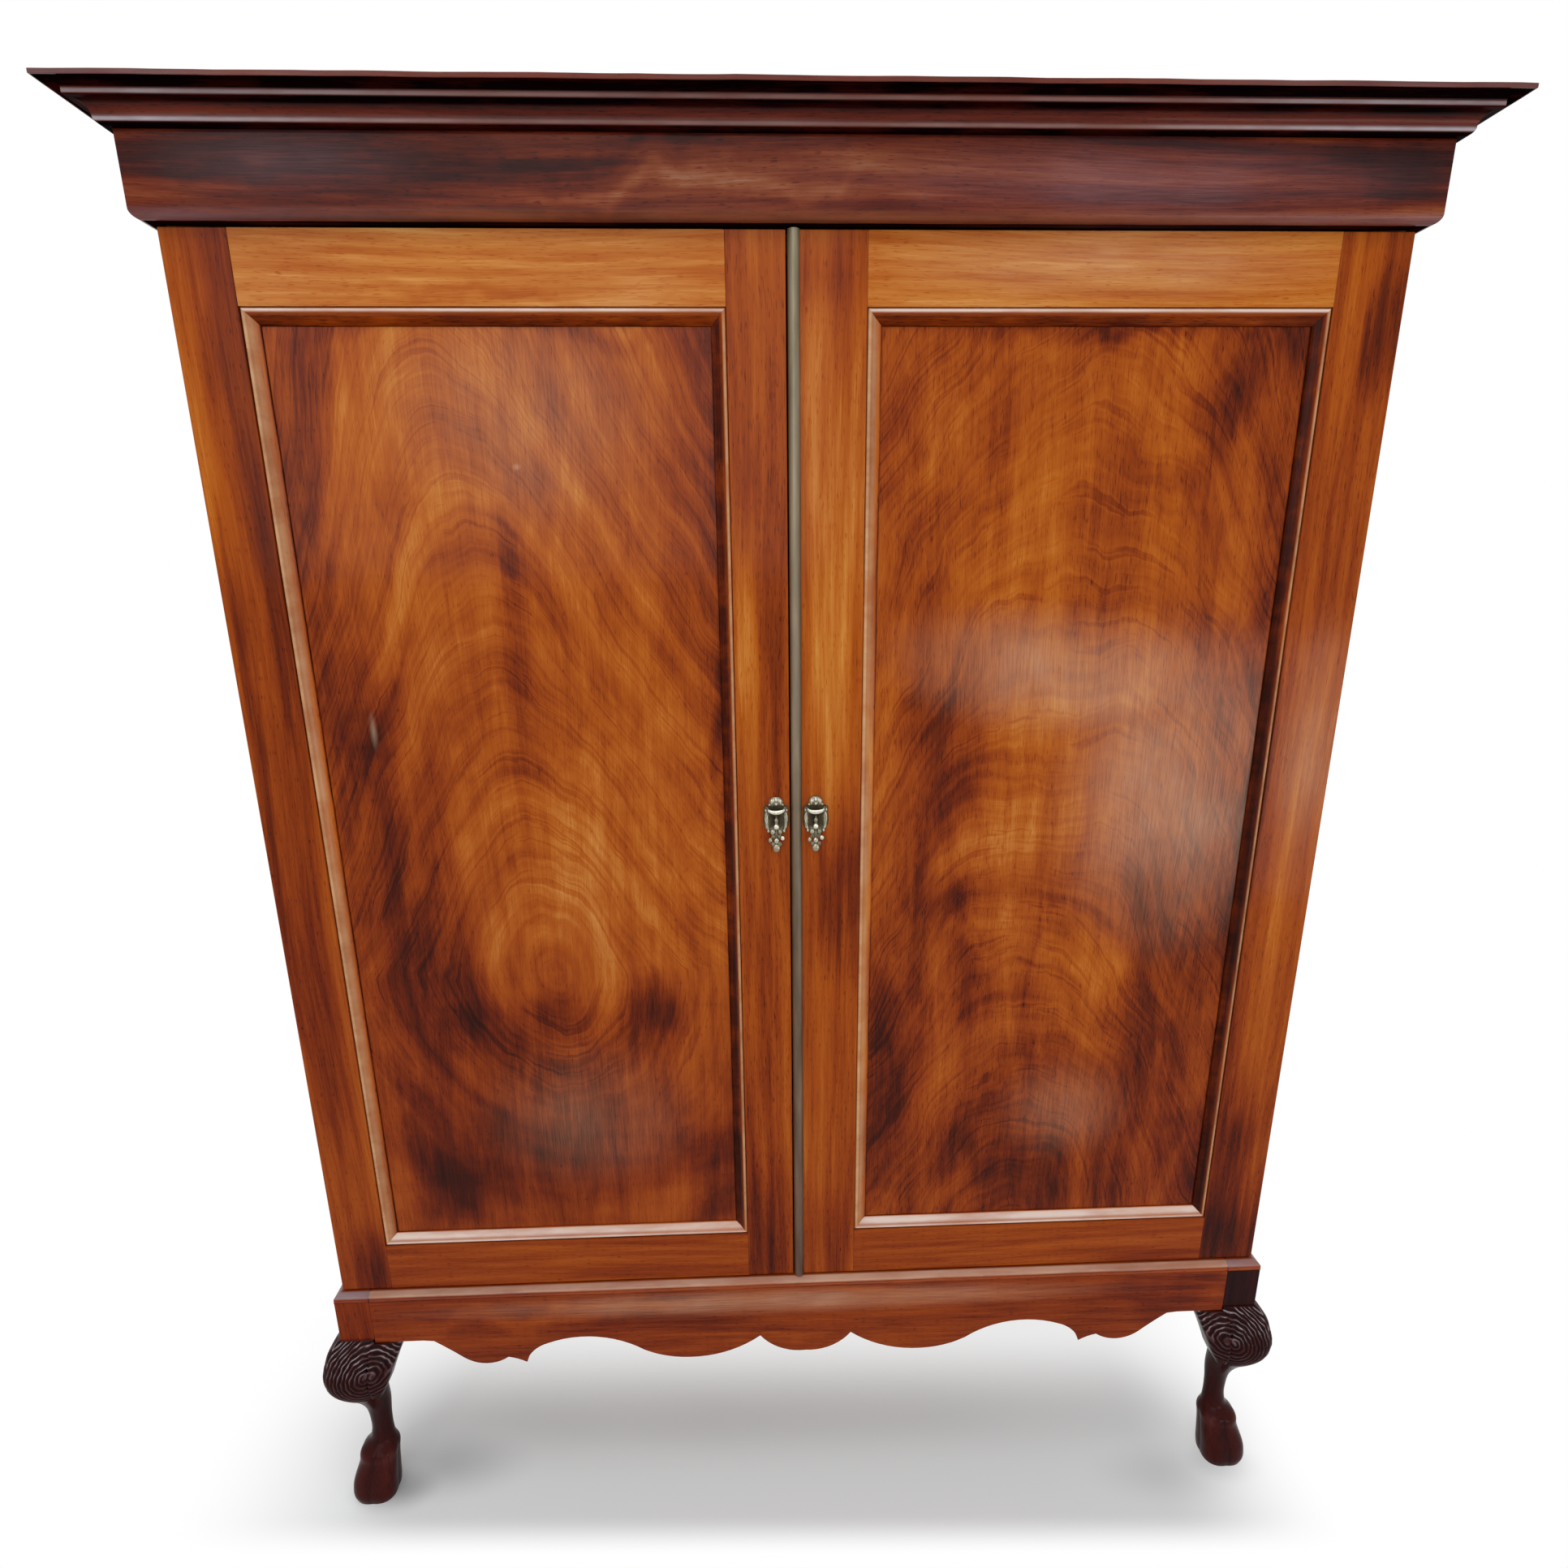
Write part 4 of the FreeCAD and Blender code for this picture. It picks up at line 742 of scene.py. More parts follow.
# Its highlight colour is painted on the lower rounding, and its sheens are painted reflections, greyish lilac
frieze_wood = moulded(
    "frieze_wood", seed=22, middle=0.39, streaks=1.5, colours=FRIEZE_BROWN, shade_depth=0.45,
    highlight_share=0.34, highlight_colours=("9a5c3c", "8a7076"), gloss=0.26, coat=0.3, fine=0.7,
    spots=((-0.560, 1.850, 0.260, 0.016, -0.12), (-0.150, 1.855, 0.300, 0.016, -0.14),
           (-0.150, 1.822, 0.330, 0.016, 0.16), (0.660, 1.835, 0.100, 0.045, -0.24),
           (0.050, 1.83, 0.140, 0.03, 0.06)),
    blooms=((-0.560, 1.842, 0.200, 0.040, 0.22), (0.360, 1.830, 0.460, 0.050, 0.36)),
    bloom_colour="8a6468")
# Its highlight colours are painted reflections, brownish in the middle and greyish lilac at the ends
cornice_wood = moulded(
    "cornice_moulding_wood", seed=23, middle=0.47, streaks=0.5, colours=DARK_MAHOGANY, shade_depth=0.50,
    highlight_share=1.0, highlight_colours=("8f6e68", "b3a9ae"))
dust_wood = board("dust_board_wood", "lying", seed=24, middle=0.34, streaks=0.6, colours=INSIDE,
                  gloss=0.6, coat=0.0)


def plain_wood(name, way, seed, middle=0.5):
    """Unpolished wood inside the carcase: sawn tone, open pores and no coat."""
    finish = Finish(name)
    tone, fibre = sawn_tone(finish, grain_place(finish, way, seed), middle, streaks=0.7, fine=0.4)
    finish.set(Base_Color=finish.ramp(tone, INSIDE), Roughness=0.62, IOR=1.36)
    finish.relief_from(fibre, 0.0004, 0.5)
    return finish.material


inner_lying = plain_wood("inner_wood_lying", "lying", seed=32)
inner_deep = plain_wood("inner_wood_deep", "deep", seed=33)
back_wood = plain_wood("back_panel_wood", "upright", seed=34, middle=0.42)


def carcase_side_finish():
    """Polished outside and plain inside: the two woods meet at the faces' own planes."""
    finish = Finish("carcase_side_finish")
    place = grain_place(finish, "upright", seed=18)
    tone, fibre = sawn_tone(finish, place, middle=0.46, streaks=0.8, fine=0.5)
    aside = finish.sums("ABSOLUTE", finish.parts(finish.place())[0])
    outside = finish.between(aside, half_carcase - 2 * MM, half_carcase - MM, smooth=False)
    finish.set(Base_Color=finish.blend(outside, finish.ramp(tone, INSIDE), finish.ramp(tone, MAHOGANY)))
    finish.set(Roughness=finish.between(outside, 0.0, 1.0, 0.6, 0.3, smooth=False))
    polish_coat(finish, fibre, 0.4)
    return finish.material


def carved_finish(name, post_tone, post_colours):
    """Dark stained wood, blacker in the hollows of the carving, with painted greyish highlights on its ridges,
    most under the post.  The square post above has a tone and colours of its own."""
    finish = Finish(name)
    place = grain_place(finish, "kept", seed=41)
    tone, fibre = sawn_tone(finish, place, middle=0.42, streaks=0.4, fine=0.3)
    relief = finish.attribute("relief", 2)
    up = finish.parts(finish.place())[2]
    tone = finish.plus(tone, finish.between(relief, 0.0, 0.6, -0.30, 0.06, smooth=False))
    tone = finish.plus(tone, finish.between(up, 0.07, 0.12, 0.10, 0.0))
    # Painted highlight: greyish glints on the carving's ridges, in patches, mostly just under the post
    patch = finish.between(finish.noise(finish.place(), 70.0, 3.0), 0.4, 0.6, 0.15, 1.0)
    under_post = finish.between(up, 0.250, 0.288, 0.10, 0.85)
    glint = finish.product(finish.between(relief, 0.5, 0.95), patch, under_post)
    varnish(finish, tone, fibre, STAINED, 0.28, 0.25)
    carved = finish.blend(glint, finish.ramp(tone, STAINED), paint("a99da3"))
    place = grain_place(finish, "upright", seed=42)
    post = sawn_tone(finish, place, post_tone, streaks=0.4, fine=0.4)[0]
    is_post = finish.between(up, LEG_HEIGHT - 0.5 * MM, LEG_HEIGHT + 0.5 * MM, smooth=False)
    finish.set(Base_Color=finish.blend(is_post, carved, finish.ramp(post, post_colours)))
    return finish.material


def cast_brass():
    """Old cast brass: black green in the hollows, silvery where hands have polished the high places."""
    finish = Finish("cast_brass")
    relief = finish.attribute("relief", 2)
    cloud = finish.noise(finish.place(), 420.0, 3.0)
    wear_and_highlight = finish.plus(relief, finish.scaled(cloud, 0.5, -0.25))
    finish.set(Base_Color=finish.ramp(wear_and_highlight, (
        (0.05, "261e12"), (0.30, "4a4230"), (0.55, "77705b"), (0.80, "a19b87"), (1.00, "d0ccbc"))))
    finish.set(Roughness=finish.between(wear_and_highlight, 0.2, 0.9, 0.55, 0.28), Metallic=0.85)
    finish.relief_from(cloud, 0.0003, 0.5)
    return finish.material


def plain_metal(name, dark, light, roughness, scale=90.0):
    """A metal with a cloudy tarnish between two colours and fine rubbing marks."""
    finish = Finish(name)
    cloud = finish.noise(finish.place(), scale, 4.0, 0.6)
    marks = along_grain(finish, finish.place(), 0.05, 900.0, 2.0)
    tone = finish.scaled(marks, 0.3, finish.less(cloud, 0.15))
    finish.set(Base_Color=finish.ramp(tone, ((0.3, dark), (0.7, light))), Metallic=0.9)
    finish.set(Roughness=finish.between(cloud, 0.3, 0.7, roughness, roughness + 0.2))
    finish.relief_from(marks, 0.0002, 0.4)
    return finish.material


def bead_brass():
    """The meeting bead's brass: dull green brown, greyer at the top and redder at the foot."""
    finish = Finish("drawn_brass_bead")
    cloud = along_grain(finish, finish.place(), 0.15, 60.0, 4.0)
    height = finish.between(finish.parts(finish.place())[2], 0.4, 1.8, smooth=False)
    low = finish.ramp(cloud, ((0.3, "452c1e"), (0.7, "6c4f3e")))
    high = finish.ramp(cloud, ((0.3, "5e543d"), (0.7, "8b8068")))
    finish.set(Base_Color=finish.blend(height, low, high), Metallic=0.45, Roughness=0.42)
    finish.relief_from(cloud, 0.0004, 0.4)
    return finish.material


side_finish = carcase_side_finish()
left_leg_wood = carved_finish("left_leg_wood", 0.40, RED_MAHOGANY)
right_leg_wood = carved_finish("right_leg_wood", 0.30, STAINED)
handle_brass = cast_brass()
hinge_brass = plain_metal("drawn_brass", "5a4a26", "a08a50", 0.34)
old_steel = plain_metal("old_steel", "2c2a28", "6e6a64", 0.42)
lock_brass = plain_metal("lock_brass", "54431f", "94794a", 0.4, 60.0)
astragal_brass = bead_brass()


# Mouldings, each its section carried along a straight run

# Faces of the cornice, in shares of its depth and rise, and of a panel moulding, in shares of its width,
# counted back from the frame, and of its height
CORNICE_FACE = (
    ("line", 0.14, 0.00),
    ("arc", 0.225, 0.07, 0.26, 0.20),
    ("arc", 0.32, 0.43, 0.47, 0.56),
    ("line", 0.61, 0.56),
    ("line", 0.61, 0.76),
    ("arc", 0.67, 0.86, 0.80, 0.88),
    ("line", 0.86, 0.88),
    ("line", 1.00, 0.85),
    ("line", 1.00, 1.00),
)
PANEL_FACE = (
    ("line", -1.00, 0.20),
    ("arc", -0.62, 0.42, -0.34, 0.84),
    ("arc", -0.18, 1.00, -0.06, 0.84),
    ("line", 0.00, 0.70),
    ("line", 0.00, 0.00),
    ("line", -1.00, 0.00),
)
RUN_STEP = 20 * MM


def eased(section, radius=0.5 * MM):
    """The section with its square corners taken off: each point whose sides turn sharply becomes two."""
    before = np.roll(section, 1, 0) - section
    after = np.roll(section, -1, 0) - section
    points = []
    for point, backward, forward in zip(section, before, after):
        lengths = np.linalg.norm(backward), np.linalg.norm(forward)
        turn = backward @ forward / (lengths[0] * lengths[1])
        if turn > -0.8 and min(lengths) > 2.5 * radius:
            points += [point + backward / lengths[0] * radius, point + forward / lengths[1] * radius]
        else:
            points.append(point)
    return np.array(points)


def filled(section, step=2 * MM):
    """The section with points added along its sides, none further from the next than a step."""
    points = []
    for point, following in zip(section, np.roll(section, -1, 0)):
        count = int(np.linalg.norm(following - point) / step) + 1
        points.append(point + (following - point) * np.linspace(0, 1, count, endpoint=False)[:, None])
    return np.concatenate(points)


def run(section, start, end, seed, swell, shade):
    """A strip from start to end, two lists of places that match the section's points: straight lines between
    them, in steps.  Its edges, the points far from the section's middle, stand out from that middle by a
    slow wave, up to about twice the swell.  shade is the section's relief."""
    length = np.linalg.norm(end - start, axis=1).max()
    rows = int(length / RUN_STEP) + 2
    share = np.linspace(0, 1, rows)[:, None, None]
    points = start + (end - start) * share
    along = share[:, :, 0] * length
    reach = np.linalg.norm(section - section.mean(0), axis=1)
    prominent = step_up(reach, reach.max() * 0.55, reach.max())
    inward = np.minimum((waver(along, seed, 0.09, swell) - swell) * prominent, 0)
    inward[0] = inward[-1] = 0
    toward = points.mean(1, keepdims=True) - points
    toward /= np.linalg.norm(toward, axis=2, keepdims=True)
    points = points + toward * inward[..., None]
    grain = np.stack(np.broadcast_arrays(section[None, :, 1], section[None, :, 0], along), -1)
    relief = np.broadcast_to(shade, points.shape[:2])
    return tube(points), grain.reshape(-1, 3), relief.ravel()


def surround(name, section, finish, seed, swell, shade):
    """Front, left and right strips round the carcase: a section of outward reach and height, mitred at the
    front corners and square at the back."""
    out, up = section.T
    corner = half_carcase + out
    front = door_face - out
    rear = np.full_like(out, back)
    runs = {
        "front": (np.stack([-corner, front, up], -1), np.stack([corner, front, up], -1)),
        "left": (np.stack([-corner, front, up], -1), np.stack([-corner, rear, up], -1)),
        "right": (np.stack([corner, front, up], -1), np.stack([corner, rear, up], -1)),
    }
    for index, (side, ends) in enumerate(runs.items()):
        skin, grain, relief = run(section, *ends, seed + index, swell, shade)
        grain[:, 2] += index * 3
        piece(name + "_strip_" + side, skin, finish, "carcase", [name + "_" + side],
              grain=grain, relief=relief)


cornice_depth = lip_reach - frieze_reach
cornice_rise = crown - frieze_top
dust_edge = door_face - dust_low.y
cornice_section = outline(CORNICE_FACE, cornice_depth, cornice_rise) + np.array([frieze_reach, frieze_top])
cornice_section = np.concatenate([cornice_section, [
    (dust_edge, crown), (dust_edge, dust_low.z), (-frieze_inner, dust_low.z), (-frieze_inner, frieze_top)]])
cornice_section = filled(eased(cornice_section), 1.5 * MM)

# Painted light and shade on the cornice by height, as share of its rise and relief from painted shade, 0, to
# painted highlight, 1: shade under the bead, at the top of the cove and under the fillet and the lip,
# highlights on the bead and the fillet
CORNICE_SHADES = (
    (0.00, 0.02), (0.06, 0.03), (0.09, 0.75), (0.13, 0.95), (0.18, 0.80), (0.21, 0.52), (0.36, 0.50),
    (0.46, 0.32), (0.54, 0.02), (0.575, 0.05), (0.60, 0.70), (0.65, 0.92), (0.71, 0.85), (0.75, 0.45),
    (0.78, 0.02), (0.90, 0.00), (1.00, 0.55),
)
LIP_SHADE = 0.56
height_shares, shades = np.array(CORNICE_SHADES).T
cornice_shade = np.interp((cornice_section[:, 1] - frieze_top) / cornice_rise, height_shares, shades)
cornice_shade[cornice_section[:, 0] > lip_reach - 0.6 * MM] = LIP_SHADE
surround("cornice", cornice_section, cornice_wood, 60, 0.5 * MM, cornice_shade)

FRIEZE_ROUND = 9 * MM
UNDERSIDE_REACH = 9 * MM
half_way = FRIEZE_ROUND * (1 - sqrt(0.5))
frieze_section = np.concatenate([
    arc((frieze_reach - FRIEZE_ROUND, carcase_head), (frieze_reach - half_way, carcase_head + half_way),
        (frieze_reach, carcase_head + FRIEZE_ROUND), 12),
    [(frieze_reach, frieze_top), (-frieze_inner, frieze_top), (-frieze_inner, carcase_head),
     (frieze_reach - FRIEZE_ROUND, carcase_head)]])
frieze_section = filled(frieze_section)
frieze_rise = frieze_section[:, 1] - carcase_head
# Painted highlight on the lower rounding and underside, and painted shade on the underside's inner part by the
# doors
frieze_shade = np.interp(frieze_rise, (0.0, 0.004, 0.007, 0.012), (0.85, 1.0, 0.8, 0.5))
frieze_shade[(frieze_rise < 0.1 * MM) & (frieze_section[:, 0] < UNDERSIDE_REACH)] = 0.0
surround("frieze", frieze_section, frieze_wood, 70, 0.2 * MM, frieze_shade)

NOSING_EDGE = 6.5 * MM
base_thickness = carcase_floor - rail_top
base_section = np.concatenate([
    [(base_reach, rail_top)],
    arc((base_reach, rail_top + NOSING_EDGE),
        (base_reach * 0.62, rail_top + base_thickness * 0.84), (base_reach * 0.10, carcase_floor), 12),
    [(-base_inner, carcase_floor), (-base_inner, rail_top)]])
base_section = filled(eased(base_section))
# Painted shade at the moulding's foot and painted highlight on its upper slope and top edge
base_shade = np.interp((base_section[:, 1] - rail_top) / base_thickness,
                       (0.0, 0.1, 0.3, 0.45, 0.6, 0.8, 0.97, 1.0),
                       (0.1, 0.5, 0.55, 0.4, 0.95, 0.85, 0.95, 0.5))
surround("base_moulding", base_section, base_moulding_wood, 80, 0.4 * MM, base_shade)


STRIP_WIDTH = 18 * MM
# Painted shade and highlight of each strip by distance from the frame, 0 painted shade, 0.5 plain, 1 painted
# highlight: the foot and left strips are painted lighter than the right and head ones
STRIP_PLACES = (0.0, 0.04, 0.10, 0.20, 0.34, 0.50, 0.90, 1.0)
STRIP_SHADES = {
    "foot": (0.0, 0.5, 1.0, 1.0, 0.62, 1.0, 0.9, 0.2),
    "right": (0.0, 0.4, 0.95, 0.85, 0.35, 0.16, 0.12, 0.0),
    "head": (0.0, 0.6, 1.0, 1.0, 0.42, 0.12, 0.08, 0.0),
    "left": (0.0, 0.5, 1.0, 0.95, 0.82, 0.78, 0.5, 0.0),
}


def panel_strips(door, seed):
    """The four mitred strips round a panel: each point of the section runs round a rectangle that is drawn
    in by the point's distance from the frame, at the point's height over the panel.  The two upright strips
    are one piece, and the two lying ones another."""
    low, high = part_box(door + "_moulding")
    section = eased(outline(PANEL_FACE, STRIP_WIDTH, high.y - low.y), 0.3 * MM)
    inward = -section[:, 0]
    depth = high.y - section[:, 1]
    left, right = low.x + inward, high.x - inward
    foot, head = low.z + inward, high.z - inward
    corners = {
        "foot": (np.stack([left, depth, foot], -1), np.stack([right, depth, foot], -1)),
        "right": (np.stack([right, depth, foot], -1), np.stack([right, depth, head], -1)),
        "head": (np.stack([right, depth, head], -1), np.stack([left, depth, head], -1)),
        "left": (np.stack([left, depth, head], -1), np.stack([left, depth, foot], -1)),
    }
    strips = []
    for index, (place, ends) in enumerate(corners.items()):
        shade = np.interp(inward / STRIP_WIDTH, STRIP_PLACES, STRIP_SHADES[place])
        skin, grain, relief = run(section, *ends, seed + index, 0.15 * MM, shade)
        grain[:, 2] += index * 2.7
        strips.append((skin, grain, relief))
    for word, chosen, finish, stands_for in (
            ("_bead_strips", strips[1::2], door_moulding_wood, [door + "_moulding"]),
            ("_ledge_strips", strips[0::2], door_ledge_wood, [])):
        skins, grains, reliefs = zip(*chosen)
        piece(door + word, joined(skins), finish, door, stands_for,
              grain=np.concatenate(grains), relief=np.concatenate(reliefs))


panel_strips("left_door", 90)
panel_strips("right_door", 95)


def meeting_bead():
    """The brass half round on the right door's edge: half a circle carried up the door, a little dented."""
    low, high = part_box("meeting_bead")
    radius = (high.x - low.x) / 2
    angles = np.linspace(0, pi, 22)
    section = np.stack([np.cos(angles), -np.sin(angles)], -1) * radius
    up = np.linspace(low.z, high.z, 180)[:, None]
    dent = waver(up, 5, 0.16, 0.25 * MM)
    shrink = 1 - np.abs(dent) / radius * np.abs(np.sin(angles))
    shrink[0] = shrink[-1] = 1
    middle = (high.x + low.x) / 2
    points = np.stack(np.broadcast_arrays(
        middle + section[:, 0] * shrink, high.y + section[:, 1] * shrink, up), -1)
    piece("brass_meeting_bead", tube(points), astragal_brass, "right_door", ["meeting_bead"])


meeting_bead()


# Carved legs

# Down a leg: height, how far its middle stands out to the corner, half its width, and the part of each side
# that stays flat, all as shares of the leg's height or the post's side.
LEG_SHARES = (
    (1.000, 0.015, 0.515, 0.96),
    (0.950, 0.190, 0.640, 0.72),
    (0.885, 0.270, 0.735, 0.58),
    (0.800, 0.335, 0.790, 0.50),
    (0.730, 0.290, 0.765, 0.48),
    (0.672, 0.205, 0.650, 0.46),
    (0.625, 0.100, 0.535, 0.44),
    (0.550, -0.015, 0.405, 0.42),
    (0.430, -0.050, 0.310, 0.41),
    (0.350, -0.040, 0.320, 0.41),
    (0.310, -0.020, 0.365, 0.42),
    (0.262, 0.060, 0.540, 0.46),
    (0.215, 0.095, 0.555, 0.48),
    (0.090, 0.225, 0.645, 0.56),
    (0.030, 0.240, 0.640, 0.56),
    (0.000, 0.230, 0.605, 0.54),
)
POST_SIDE = 52 * MM
POST_OUT = post_inner + POST_SIDE / 2
FRONT_POST = apron_face + POST_SIDE / 2
POST_FLATNESS = 0.975
LEG_COLUMNS = 240
KNEE_END = 170 * MM
ANKLE_START = 169 * MM
FOOT_START = 100 * MM
LEG_ROOM = 90 * MM

EYE_ARCH = 69 * MM
EYE_HEIGHT = 259 * MM
FLUTE = 7.0 * MM
CARVING_DEPTH = 2.2 * MM
TOE_DEPTH = 2.0 * MM
KNEE_RADIUS = 46 * MM
KNUCKLES = 76 * MM
TOES_TOP = 96 * MM


def flutes(across, above):
    """Height of the carving round a scroll's eye, 0 to 1: lapped leaves in a spiral, each rising slowly and
    dropping sharply to the next, and the eye as a bead.  The lap is the part of a turn left over when the
    distance is counted in flutes."""
    stir = 0.6 * MM * np.sin(across * 330 + above * 210) + 0.4 * MM * np.sin(above * 520 - across * 160)
    distance = np.hypot(across, above * 0.92)
    turns = (distance + stir) / FLUTE - np.arctan2(above, across) / (2 * pi)
    lap = turns - np.floor(turns)
    leaf = np.minimum(lap / 0.70, (1 - lap) / 0.30) ** 0.8
    eye = bump(distance, 0, 4.0 * MM)
    bead_beside = bump(np.hypot(across - 20 * MM, above + 4 * MM), 0, 3.6 * MM)
    return leaf * (1 - np.maximum(eye, bead_beside)) + 1.5 * bead_beside + 1.1 * eye


def knee_carving(turn, height):
    """The flutes on a knee, and where they end: at the post, under the knee and round at its back.  turn is
    the angle from the outer corner; the way round from it is measured on a circle as wide as the knee."""
    across = turn * KNEE_RADIUS - EYE_ARCH
    above = height - EYE_HEIGHT
    carved = flutes(across, above)
    edge = step_up(height, 196 * MM, 222 * MM) * step_up(LEG_HEIGHT + 1 * MM - height, 0, 3 * MM)
    visible = 1 - step_up(turn, radians(118), radians(150))
    return carved, edge * visible


def foot_carving(turn, height):
    """The foot: furrows between four toes that stand round it, and a knuckle on each where it begins."""
    toes = np.abs(np.cos(turn * 2)) ** 0.8
    knuckles = bump(height, KNUCKLES, 12 * MM)
    grip = step_up(TOES_TOP - height, 0, 20 * MM)
    return toes * (0.65 + 0.35 * knuckles), grip


def leg_skin(side):
    """A leg and its square post on one grid.  Each row is a rounded square, the points where |x|^n + |y|^n
    is the same, with n from how flat its sides stay; its middle moves out along the corner's diagonal; the
    carving is added along the ray from the middle."""
    heights = np.concatenate([
        np.linspace(rail_top, LEG_HEIGHT + 0.2 * MM, 8),
        np.linspace(LEG_HEIGHT, KNEE_END, 190),
        np.linspace(ANKLE_START, FOOT_START, 40)[1:],
        np.linspace(FOOT_START, 0, 90)[1:],
    ])
    shares = np.array(LEG_SHARES)[::-1]
    at = np.clip(heights / LEG_HEIGHT, 0, 1)
    lean, half, flat = (curve_through(shares[:, 0], shares[:, column], at) for column in (1, 2, 3))
    post = heights > LEG_HEIGHT
    lean = (np.where(post, 0, lean) * POST_SIDE)[:, None]
    half = (np.where(post, 0.5, half) * POST_SIDE)[:, None]
    flat = np.where(post, POST_FLATNESS, np.clip(flat, 0.41, 0.96))
    power = 1 / (0.5 - np.log2(np.clip((1 + flat) / sqrt(2), 1.0005, 1.40)))[:, None]
    turn = (2 * pi * (np.arange(LEG_COLUMNS) + 0.5) / LEG_COLUMNS - pi)[None]
    direction = turn - pi / 4
    square = (np.abs(np.cos(direction)) ** power + np.abs(np.sin(direction)) ** power) ** (-1 / power)
    level = heights[:, None] + 0 * turn
    away = np.abs(turn) + 0 * level
    knee, knee_edge = knee_carving(away, level)
    toes, grip = foot_carving(away, level)
    added = (knee - 0.6) * CARVING_DEPTH * knee_edge + (toes - 0.4) * TOE_DEPTH * grip
    relief = 0.4 + (knee - 0.6) * 1.4 * knee_edge + (toes - 0.5) * 0.5 * grip
    radius = square * half + np.where(post[:, None], 0, added)
    x = side * (POST_OUT + lean + radius * np.cos(direction))
    y = FRONT_POST - (lean - radius * np.sin(direction))
    grain = np.stack([x, y, level], -1)
    points = grain.copy()
    low_x, high_x = sorted((side * (half_carcase - LEG_ROOM), side * -cad_box[0][0]))
    points[..., 0] = np.clip(x, low_x, high_x)
    return tube(points), grain.reshape(-1, 3), np.where(post[:, None], 0.5, relief).ravel()


for side, word, finish in ((-1, "left", left_leg_wood), (1, "right", right_leg_wood)):
    skin, grain, relief = leg_skin(side)
    piece("carved_leg_" + word, skin, finish, "carcase", ["leg_front_" + word],
          crease=50, grain=grain, relief=relief)


# A knee block's outline, in shares of its width and of its drop
KNEE_BLOCK = (
    ("line", 1.00, 0.00),
    ("line", 0.92, 0.16),
    ("arc", 0.55, 0.50, 0.28, 0.78),
    ("line", 0.00, 1.00),
)
EAR_WIDTH = 38 * MM
EAR_DROP = 97 * MM
EAR_THICKNESS = 30 * MM
EAR_SQUARENESS = 5.0
EAR_EYE = POST_SIDE / 2 - 22 * MM


def ear_skin(side, along_front):
    """A knee block: rounded squares stacked down its height, as wide as its outline leaves them.  Its face
    swells forward to meet the knee, and the knee's flutes run on over it round the same eye."""
    edge = outline(KNEE_BLOCK, EAR_WIDTH, EAR_DROP)
    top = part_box("knee_blocks_front")[1].z
    drop = np.concatenate([[0, 0.3 * MM], np.linspace(1 * MM, EAR_DROP * 0.97, 90)])[:, None]
    width = np.interp(drop, edge[:, 1], edge[:, 0])
    seat = POST_SIDE / 4
    turn = (2 * pi * np.arange(160) / 160)[None]
    unit = (np.abs(np.cos(turn)) ** EAR_SQUARENESS + np.abs(np.sin(turn)) ** EAR_SQUARENESS)
    unit = unit ** (-1 / EAR_SQUARENESS)
    across = (width - seat) / 2 + (width + seat) / 2 * np.cos(turn) * unit
    level = top - drop + 0 * turn
    shares = np.array(LEG_SHARES)[::-1]
    knee_out = curve_through(shares[:, 0], shares[:, 1] + shares[:, 2] - 0.5, level / LEG_HEIGHT) * POST_SIDE
    near = np.clip(1 - (across + seat) / (EAR_WIDTH + seat), 0, 1)
    swell = np.clip(knee_out - 3 * MM, 0, None) * near ** 1.3
    facing = step_up(-np.sin(turn) + 0 * level, -0.1, 0.9)
    carved = flutes(EAR_EYE + across, level - EYE_HEIGHT)
    fade = step_up(drop, 0, 3 * MM) * (1 - step_up(drop, EAR_DROP * 0.8, EAR_DROP))
    deep = EAR_THICKNESS / 2 * np.sin(turn) * unit
    deep = deep - (swell + (carved - 0.8) * CARVING_DEPTH * fade) * facing
    relief = 0.4 + (carved - 0.6) * 1.4 * fade * facing
    inner = deep + EAR_THICKNESS / 2
    if along_front:
        x = side * (post_inner - across)
        y = apron_face + inner
    else:
        x = side * (post_inner + POST_SIDE - inner)
        y = FRONT_POST + POST_SIDE / 2 + across
    points = np.stack([x, y, level], -1)
    return tube(points), points.reshape(-1, 3), relief.ravel()


for along_front, word in ((True, "front"), (False, "side")):
    skins, grains, reliefs = zip(*(ear_skin(side, along_front) for side in (-1, 1)))
    piece("carved_knee_blocks_" + word, joined(skins), right_leg_wood, "carcase",
          ["knee_blocks_" + word], crease=50, grain=np.concatenate(grains), relief=np.concatenate(reliefs))


# Cast handles

HANDLE_Z = 1126 * MM
AXIS_OUT = 6.5
# Reach of a backplate's edge, in millimetres, by the angle over the level in degrees
PLATE_REACHES = (
    (-90, 35.0), (-72, 31.5), (-55, 27.5), (-38, 21.6), (-20, 17.2), (0, 16.6), (14, 16.2), (27, 11.2),
    (38, 9.9), (46, 12.2), (54, 15.2), (64, 16.4), (76, 16.8), (90, 16.9),
)


def plate_outline(angles):
    """Reach of a backplate's edge at each angle, alike on both sides: a round crown on a narrow neck, two
    shoulders, straight sides and a long tail; a smooth line through listed reaches."""
    degrees_up, reaches = zip(*PLATE_REACHES)
    folded = np.degrees(np.arcsin(np.sin(angles)))
    return curve_through(degrees_up, reaches, folded) * MM


